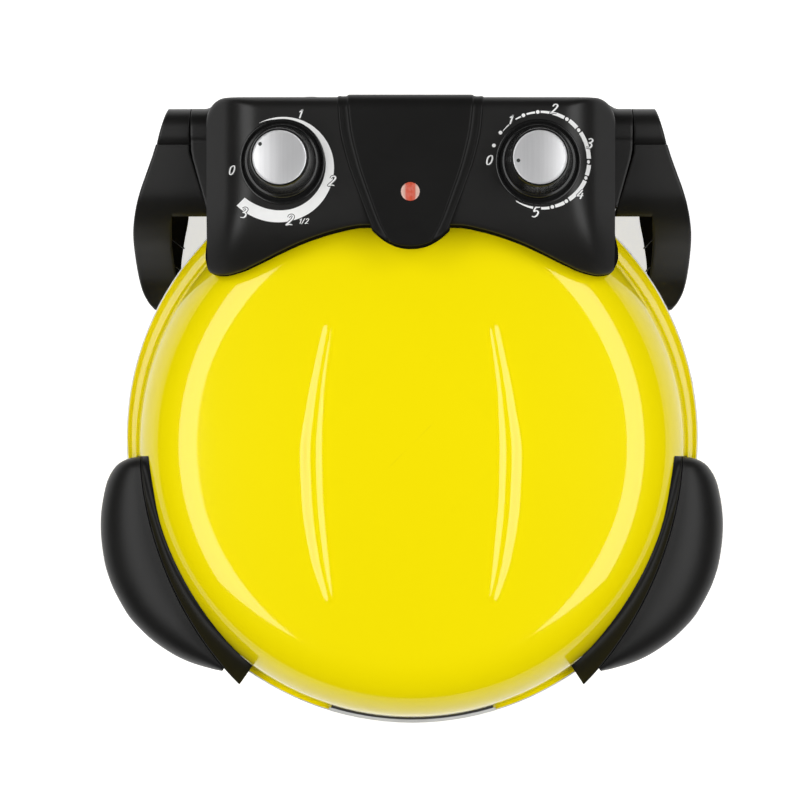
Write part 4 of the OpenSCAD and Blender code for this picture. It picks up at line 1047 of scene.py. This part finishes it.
# the numbers' own strokes, in a box one high
strokes = {"0": [[(0.30, 0.97), (0.10, 0.80), (0.06, 0.45), (0.16, 0.08), (0.36, 0.03), (0.54, 0.25),
                  (0.58, 0.62), (0.48, 0.92), (0.30, 0.97)]],
           "1": [[(0.12, 0.70), (0.30, 0.82), (0.42, 0.99)], [(0.42, 0.99), (0.36, 0.50), (0.32, 0.0)]],
           "2": [[(0.06, 0.74), (0.16, 0.93), (0.36, 0.98), (0.52, 0.84), (0.48, 0.62), (0.26, 0.32),
                  (0.02, 0.04), (0.30, 0.10), (0.62, 0.05)]],
           "3": [[(0.08, 0.90), (0.34, 0.98), (0.54, 0.84), (0.46, 0.64), (0.24, 0.54), (0.48, 0.46),
                  (0.56, 0.24), (0.38, 0.04), (0.04, 0.08)]],
           "4": [[(0.44, 1.0), (0.20, 0.62), (0.02, 0.34), (0.34, 0.34), (0.66, 0.38)],
                 [(0.50, 0.68), (0.46, 0.34), (0.40, 0.0)]],
           "5": [[(0.62, 0.97), (0.38, 0.94), (0.18, 0.93), (0.10, 0.56), (0.34, 0.62), (0.54, 0.46),
                  (0.50, 0.18), (0.28, 0.02), (0.02, 0.08)]],
           "/": [[(0.40, 1.05), (0.20, 0.5), (0.0, -0.05)]]}


def softCurve(p, n=7):
    p = np.array(p, float)
    q = np.vstack([p[0], p, p[-1]])
    out = []
    for i in range(1, len(q) - 2):
        for t in np.linspace(0, 1, n, endpoint=False):
            out.append(0.5 * (2 * q[i] + (q[i + 1] - q[i - 1]) * t
                              + (2 * q[i - 1] - 5 * q[i] + 4 * q[i + 1] - q[i + 2]) * t**2
                              + (3 * q[i] - q[i - 1] - 3 * q[i + 1] + q[i + 2]) * t**3))
    return np.array(out + [p[-1]])


def numeral(text, px, py, high, lift, turn=0.0, grow=0.0):
    x0, y0 = fromPixel(px, py)
    co, si = math.cos(math.radians(turn)), math.sin(math.radians(turn))
    verts, faces, at = [], [], -0.32 * len(text)
    for mark in text:
        for line in strokes[mark]:
            c = softCurve(line)
            d = np.gradient(c, axis=0)
            d /= np.maximum(np.linalg.norm(d, axis=1), 1e-6)[:, None]
            s = np.linspace(0, 1, len(c))
            # a brush presses harder on the way down than across
            w = (0.046 + 0.04 * np.abs(d[:, 1])) * np.where(s < 0.12, 0.55 + 3.75 * s, 1) * np.where(s > 0.9,
                    0.5 + 5 * (1 - s), 1)
            if np.allclose(line[0], line[-1]):
                w = 0.046 + 0.04 * np.abs(d[:, 1])
            w = w + grow / high
            n = len(verts)
            for k in (-1, 0, 1):
                for p, t, ww in zip(c, d, w):
                    u, v = p[0] - t[1] * ww * k + at + 0.26 * (p[1] - 0.5), p[1] + t[0] * ww * k - 0.5
                    u, v = u * high, v * high
                    x, y = x0 + u * co - v * si, y0 + u * si + v * co
                    verts.append(toRow([drape(x, y, lift)])[0])
            faces += gridFaces(3, len(c), n)
        at += 0.64
    mesh = bpy.data.meshes.new("mark")
    mesh.from_pydata([tuple(v) for v in verts], [], faces)
    mesh.update()
    if sum(p.normal.z for p in mesh.polygons) < 0:
        mesh.flip_normals()
    return mesh


def joinMeshes(name, meshes):
    bm = bmesh.new()
    for m in meshes:
        bm.from_mesh(m)
    mesh = bpy.data.meshes.new(name)
    bm.to_mesh(mesh); bm.free()
    for m in meshes:
        bpy.data.meshes.remove(m)
    return mesh


digits = [("0", 231.3, 169.3, 5.2, 0), ("1", 300.8, 113.8, 5.2, 0), ("2", 332.6, 181, 5.8, 0),
          ("2", 290, 219.6, 6.0, 0), ("3", 243.6, 212.4, 5.8, 0),
          ("1/2", 303.5, 220.6, 3.0, 0),
          ("0", 489.6, 160, 5.4, 0), ("1", 511.2, 119.6, 5.4, 0), ("2", 554.8, 108.8, 5.6, 0),
          ("3", 590.4, 142.4, 5.8, 0), ("4", 580.8, 194.0, 5.4, 0), ("5", 536.2, 211.6, 5.8, 0)]
whiteDigits = [numeral(t, px, py, h, 0.12, turn) for t, px, py, h, turn in digits]
finishPiece("dialNumbers", joinMeshes("dialNumbers", whiteDigits), whitePrint, "lid",
            fixNormals=False, merge=False)
backed = [d for d in digits if d[0] in ("2", "3", "4", "5")]
shades = [numeral(t, px, py, h, 0.095, turn, grow=0.42) for t, px, py, h, turn in backed]
finishPiece("numberShadows", joinMeshes("numberShadows", shades), darkPrint, "lid",
            fixNormals=False, merge=False)

# the pointer dots on the caps
capTop = dial["base"] + dial["capBase"] + dial["capRim"]
for who, side, px, py in (("temp", -1, 260.0, 143.9), ("timer", 1, 518.4, 160.4)):
    pxCap = pxRim * (1 - (capTop + 0.2 - rimZ) / camera["height"])
    x, y = (px - camera["axisPixel"]) * pxCap + camera["x"], (400 - py) * pxCap + camera["y"]
    r = math.hypot(x - side * dial["x"], y - dial["y"])
    spread(who + "Pointer", [(x, y, capTop + dial["capCrown"] * (1 - (r / 14.7)**2) + 0.11)], [(0, 0, 1)],
           discMesh("pointer", 0.00108, 24), darkPrint, who + "_dial")
print("printed marks made")


def lensFinish():
    look = dict(core=(0.46, 0.035, 0.014), rib=(0.72, 0.14, 0.075), side=(0.62, 0.36, 0.29))
    m, t, shader = blankFinish("lensRed")
    tc = t.nodes.new("ShaderNodeTexCoord")
    sep = t.nodes.new("ShaderNodeSeparateXYZ"); t.links.new(tc.outputs["Object"], sep.inputs[0])
    side = t.nodes.new("ShaderNodeMapRange"); side.interpolation_type = "SMOOTHSTEP"
    side.inputs["From Min"].default_value, side.inputs["From Max"].default_value = 0.0022, 0.0036
    t.links.new(mathNode(t, "ABSOLUTE", sep.outputs["X"]), side.inputs["Value"])
    g = grainNode(t, 1400.0, 500.0)
    rib = t.nodes.new("ShaderNodeTexWave"); rib.inputs["Scale"].default_value = 420.0
    rib.inputs["Distortion"].default_value = 0.6
    t.links.new(tc.outputs["Object"], rib.inputs["Vector"])
    core = mixColour(t, rib.outputs["Fac"], look["core"], look["rib"])
    feed(t, shader, mixColour(t, side.outputs[0], core, look["side"]),
         mapValue(t, g.outputs["Mottle"], 0.12, 0.22), bumpNode(t, rib.outputs["Fac"], 0.35, 0.0001))
    shader.inputs["Coat Weight"].default_value = 0.5
    return m


lensRed = lensFinish()


def makeLens():
    lens = dict(y=143.2, r=5.4, rim=159.45, top=160.15, rib=0.06, pitch=0.95)
    pts = [(0.0, lens["y"], lens["top"])]
    rings, turns = 14, 72
    for k in range(1, rings + 1):
        r = lens["r"] * k / rings
        for i in range(turns):
            a = 2 * math.pi * i / turns
            x = r * math.cos(a)
            z = lens["rim"] + (lens["top"] - lens["rim"]) * math.sqrt(max(0, 1 - (k / rings)**2 * 0.98))
            z += lens["rib"] * math.cos(2 * math.pi * x / lens["pitch"]) * (abs(x) < 3.2) * (k < rings)
            pts.append((x, lens["y"] + r * math.sin(a), z))
    f = [(0, 1 + i, 1 + (i + 1) % turns) for i in range(turns)]
    for k in range(rings - 1):
        for i in range(turns):
            a, b = 1 + k * turns + i, 1 + k * turns + (i + 1) % turns
            f.append((a, a + turns, b + turns, b))
    base = len(pts)
    for r, z in ((lens["r"], 154.6), (4.2, 154.6), (4.2, 151.6)):
        for i in range(turns):
            a = 2 * math.pi * i / turns
            pts.append((r * math.cos(a), lens["y"] + r * math.sin(a), z))
    prev = 1 + (rings - 1) * turns
    for lvl in range(3):
        cur = base + lvl * turns
        f += [(prev + i, cur + i, cur + (i + 1) % turns, prev + (i + 1) % turns) for i in range(turns)]
        prev = cur
    f.append(tuple(prev + i for i in range(turns))[::-1])
    return meshPiece("indicatorLens", pts, f, lensRed, "lid", ("indicator_lens",), sharp=45)


makeLens()


def screwMesh(name, r, h, shank):
    bm = bmesh.new()
    turns = 32
    rings = [(r * 0.46, -shank), (r * 0.5, -shank + 0.0004), (r * 0.5, 0.0), (r, 0.0), (r, h * 0.35),
             (r * 0.93, h * 0.66), (r * 0.72, h * 0.9), (r * 0.5, h)]
    loops = []
    for rr, z in rings:
        loops.append([bm.verts.new((rr * math.cos(2 * math.pi * i / turns),
                rr * math.sin(2 * math.pi * i / turns), z)) for i in range(turns)])
    for a, b in zip(loops, loops[1:]):
        for i in range(turns):
            bm.faces.new((a[i], a[(i + 1) % turns], b[(i + 1) % turns], b[i]))
    bm.faces.new(loops[0][::-1])
    # the recess: a cross sunk in the crown
    cross = []
    for i in range(turns):
        a = 2 * math.pi * i / turns
        arm = abs(math.cos(2 * a))**6
        cross.append(bm.verts.new((r * (0.16 + 0.26 * arm) * math.cos(a),
                r * (0.16 + 0.26 * arm) * math.sin(a), h)))
    deep = [bm.verts.new((v.co.x * 0.7, v.co.y * 0.7, h * 0.35)) for v in cross]
    for a, b in ((loops[-1], cross), (cross, deep)):
        for i in range(turns):
            bm.faces.new((a[i], a[(i + 1) % turns], b[(i + 1) % turns], b[i]))
    bm.faces.new(deep)
    bmesh.ops.recalc_face_normals(bm, faces=bm.faces)
    mesh = bpy.data.meshes.new(name)
    bm.to_mesh(mesh); bm.free()
    return mesh


def solidCentres(node):
    bm = bmesh.new(); bm.from_mesh(nodes[node].data)
    bmesh.ops.remove_doubles(bm, verts=bm.verts, dist=1e-6)
    bm.verts.ensure_lookup_table()
    todo, parts = set(bm.verts), []
    while todo:
        stack, group = [todo.pop()], []
        while stack:
            v = stack.pop(); group.append(v)
            for e in v.link_edges:
                w = e.other_vert(v)
                if w in todo:
                    todo.remove(w); stack.append(w)
        parts.append(np.array([v.co for v in group]))
    bm.free()
    return parts


def dressScrews(node, body, finish, headHeight=0.0022):
    where, aims, length = [], [], 0.0
    for p in solidCentres(node):
        c = p.mean(0)
        _, _, vt = np.linalg.svd(p - c)
        axis = vt[0]
        t = (p - c) @ axis
        rad = np.linalg.norm((p - c) - np.outer(t, axis), axis=1)
        wide = t[rad > rad.max() * 0.9]
        if abs(t.max() - wide.max()) > abs(wide.min() - t.min()):     # the head is at the low end
            axis, t, wide = -axis, -t, -wide
        centre = p[rad > rad.max() * 0.9]
        mid = centre.mean(0) + axis * (wide.min() - ((centre - c) @ axis).mean())
        where.append(tuple(mid)); aims.append(tuple(axis)); length = wide.min() - t.min()
        big = rad.max()
    words = node.split("_")
    name = words[0] + "".join(w.title() for w in words[1:]) + "Set"
    return spread(name, where, aims, screwMesh(node, big * 0.99, headHeight * 0.98, length * 0.99), finish,
                  body, (node,), rowFrame=True)


for node, body in (("bottom_cover_screws", "base"), ("front_foot_screws", "base"), ("hinge_leg_screws", "base"),
                   ("floor_screws", "lid"), ("bracket_screws", "lid"), ("handle_screws", "lid")):
    dressScrews(node, body, darkSteel)
print("screws placed")


def roundedCopy(name, node, finish, body, width, segments=2, angle=35):
    mesh = nodes[node].data.copy()
    bm = bmesh.new(); bm.from_mesh(mesh)
    bmesh.ops.remove_doubles(bm, verts=bm.verts, dist=1e-6)
    bmesh.ops.dissolve_limit(bm, angle_limit=math.radians(2.0), verts=bm.verts, edges=bm.edges)
    bm.to_mesh(mesh); bm.free()
    temp = bpy.data.objects.new(name + "Work", mesh)
    bpy.context.scene.collection.objects.link(temp)
    bevel = temp.modifiers.new("edges", "BEVEL")
    bevel.width, bevel.segments, bevel.limit_method, bevel.angle_limit = width, segments, "ANGLE", math.radians(angle)
    bevel.use_clamp_overlap = True
    bpy.context.view_layer.update()
    done = bpy.data.meshes.new_from_object(temp.evaluated_get(bpy.context.evaluated_depsgraph_get()))
    bpy.data.objects.remove(temp)
    return finishPiece(name, done, finish, body, (node,), fixNormals=False, sharp=32, merge=False)


for side in ("left", "right"):
    roundedCopy(side + "Foot", side + "_front_foot", blackPlastic, "base", 0.0012, 3)
roundedCopy("terminalBlock", "terminal_block", palePlastic, "lid", 0.0006)
roundedCopy("thermostatCase", "thermostat_body", palePlastic, "lid", 0.0006)


def stoneFinish():
    look = dict(pale=(0.66, 0.585, 0.49), warm=(0.55, 0.455, 0.35), scorch=(0.30, 0.22, 0.15))
    m, t, shader = blankFinish("bakingStone")
    g = grainNode(t, 420.0, 38.0)
    pits = t.nodes.new("ShaderNodeTexVoronoi"); pits.inputs["Scale"].default_value = 520.0
    tc = t.nodes.new("ShaderNodeTexCoord"); t.links.new(tc.outputs["Object"], pits.inputs["Vector"])
    c = mixColour(t, g.outputs["Mottle"], look["pale"], look["warm"])
    n = bumpNode(t, pits.outputs["Distance"], 0.3, 0.00025)
    feed(t, shader, mixColour(t, mathNode(t, "MULTIPLY", g.outputs["Smudge"], 0.45), c, look["scorch"]),
         mapValue(t, g.outputs["Height"], 0.82, 0.95), bumpNode(t, g.outputs["Height"], 0.5, 0.00015, n))
    return m


def lampFinish():
    m, t, shader = blankFinish("lampGlass")
    g = grainNode(t, 900.0, 300.0)
    shader.inputs["Transmission Weight"].default_value = 0.7
    feed(t, shader, mixColour(t, g.outputs["Mottle"], (0.95, 0.55, 0.32), (0.98, 0.66, 0.44)),
         mapValue(t, g.outputs["Mottle"], 0.05, 0.12))
    return m


bakingStone = stoneFinish()
roundedCopy("stoneDisc", "baking_stone", bakingStone, "base", 0.0015, 3)
finishes = dict(yellow_enamel=yellowEnamel, bright_steel=brightSteel, dark_steel=darkSteel,
                element_steel=elementSteel, stone=bakingStone,
                black_plastic=blackPlastic, black_rubber=blackRubber, cap_metal=capMetal, lens_red=lensRed,
                lamp_glass=lampFinish(), pale_plastic=palePlastic)
# a black rubber strip on the base's flange in the front vent: painted shade for the dark gap under the lid's cut edge
ventShade = dict(half=50.8, section=[(170.5, 78.2), (172.7, 78.2), (172.7, 80.02), (173.7, 80.02), (173.7, 80.4),
                                  (170.1, 80.4), (170.1, 80.02), (170.5, 80.02)])


def makeVentShade():
    reach, m = math.asin(ventShade["half"] / 172.0), len(ventShade["section"])
    pts = []
    for a in np.linspace(-math.pi / 2 - reach, -math.pi / 2 + reach, 72):
        pts += [(r * math.cos(a), r * math.sin(a), z) for r, z in ventShade["section"]]
    f = gridFaces(72, m, wrapV=True) + [tuple(range(m))[::-1], tuple(71 * m + j for j in range(m))]
    return meshPiece("ventGasket", pts, f, blackRubber, "base")


makeVentShade()
slotOf = {s["node"]: s["material_slot"] for s in frame["record"]["subparts"]}
for name, obj in nodes.items():
    obj.data.materials.clear()
    obj.data.materials.append(linerSteel if name in ("base_liner", "lid_liner") else finishes[slotOf[name]])
print("carried-over nodes dressed")


paper = dict(half=4.0, near=0.66, far=1.0, start=0.5, stop=1.3, mirrored=0.42)


def makeFloor():
    half = paper["half"]
    mesh = bpy.data.meshes.new("paperFloor")
    mesh.from_pydata([(-half, -half, 0), (half, -half, 0), (half, half, 0), (-half, half, 0)], [],
                     [(0, 1, 2, 3)])
    floor = bpy.data.objects.new("paperFloor", mesh)
    bpy.context.scene.collection.objects.link(floor)
    m = bpy.data.materials.new("whitePaper"); m.use_nodes = True
    t = m.node_tree; t.nodes.clear()
    end, add = t.nodes.new("ShaderNodeOutputMaterial"), t.nodes.new("ShaderNodeAddShader")
    diff, glow = t.nodes.new("ShaderNodeBsdfDiffuse"), t.nodes.new("ShaderNodeEmission")
    diff.inputs["Color"].default_value = (0.85, 0.85, 0.85, 1)
    lp = t.nodes.new("ShaderNodeLightPath")
    reflected = mathNode(t, "MULTIPLY", mathNode(t, "MAXIMUM", lp.outputs["Is Glossy Ray"],
            lp.outputs["Is Transmission Ray"]),
                         paper["mirrored"])
    away = t.nodes.new("ShaderNodeVectorMath"); away.operation = "LENGTH"  # the paper whitens away from the object
    t.links.new(t.nodes.new("ShaderNodeTexCoord").outputs["Object"], away.inputs[0])
    level = mapValue(t, away.outputs["Value"], paper["near"], paper["far"], paper["start"], paper["stop"])
    t.links.new(mathNode(t, "MAXIMUM", mathNode(t, "MULTIPLY", lp.outputs["Is Camera Ray"], level), reflected),
                glow.inputs["Strength"])
    t.links.new(diff.outputs[0], add.inputs[0]); t.links.new(glow.outputs[0], add.inputs[1])
    t.links.new(add.outputs[0], end.inputs["Surface"])
    mesh.materials.append(m)


makeFloor()
print("floor laid")
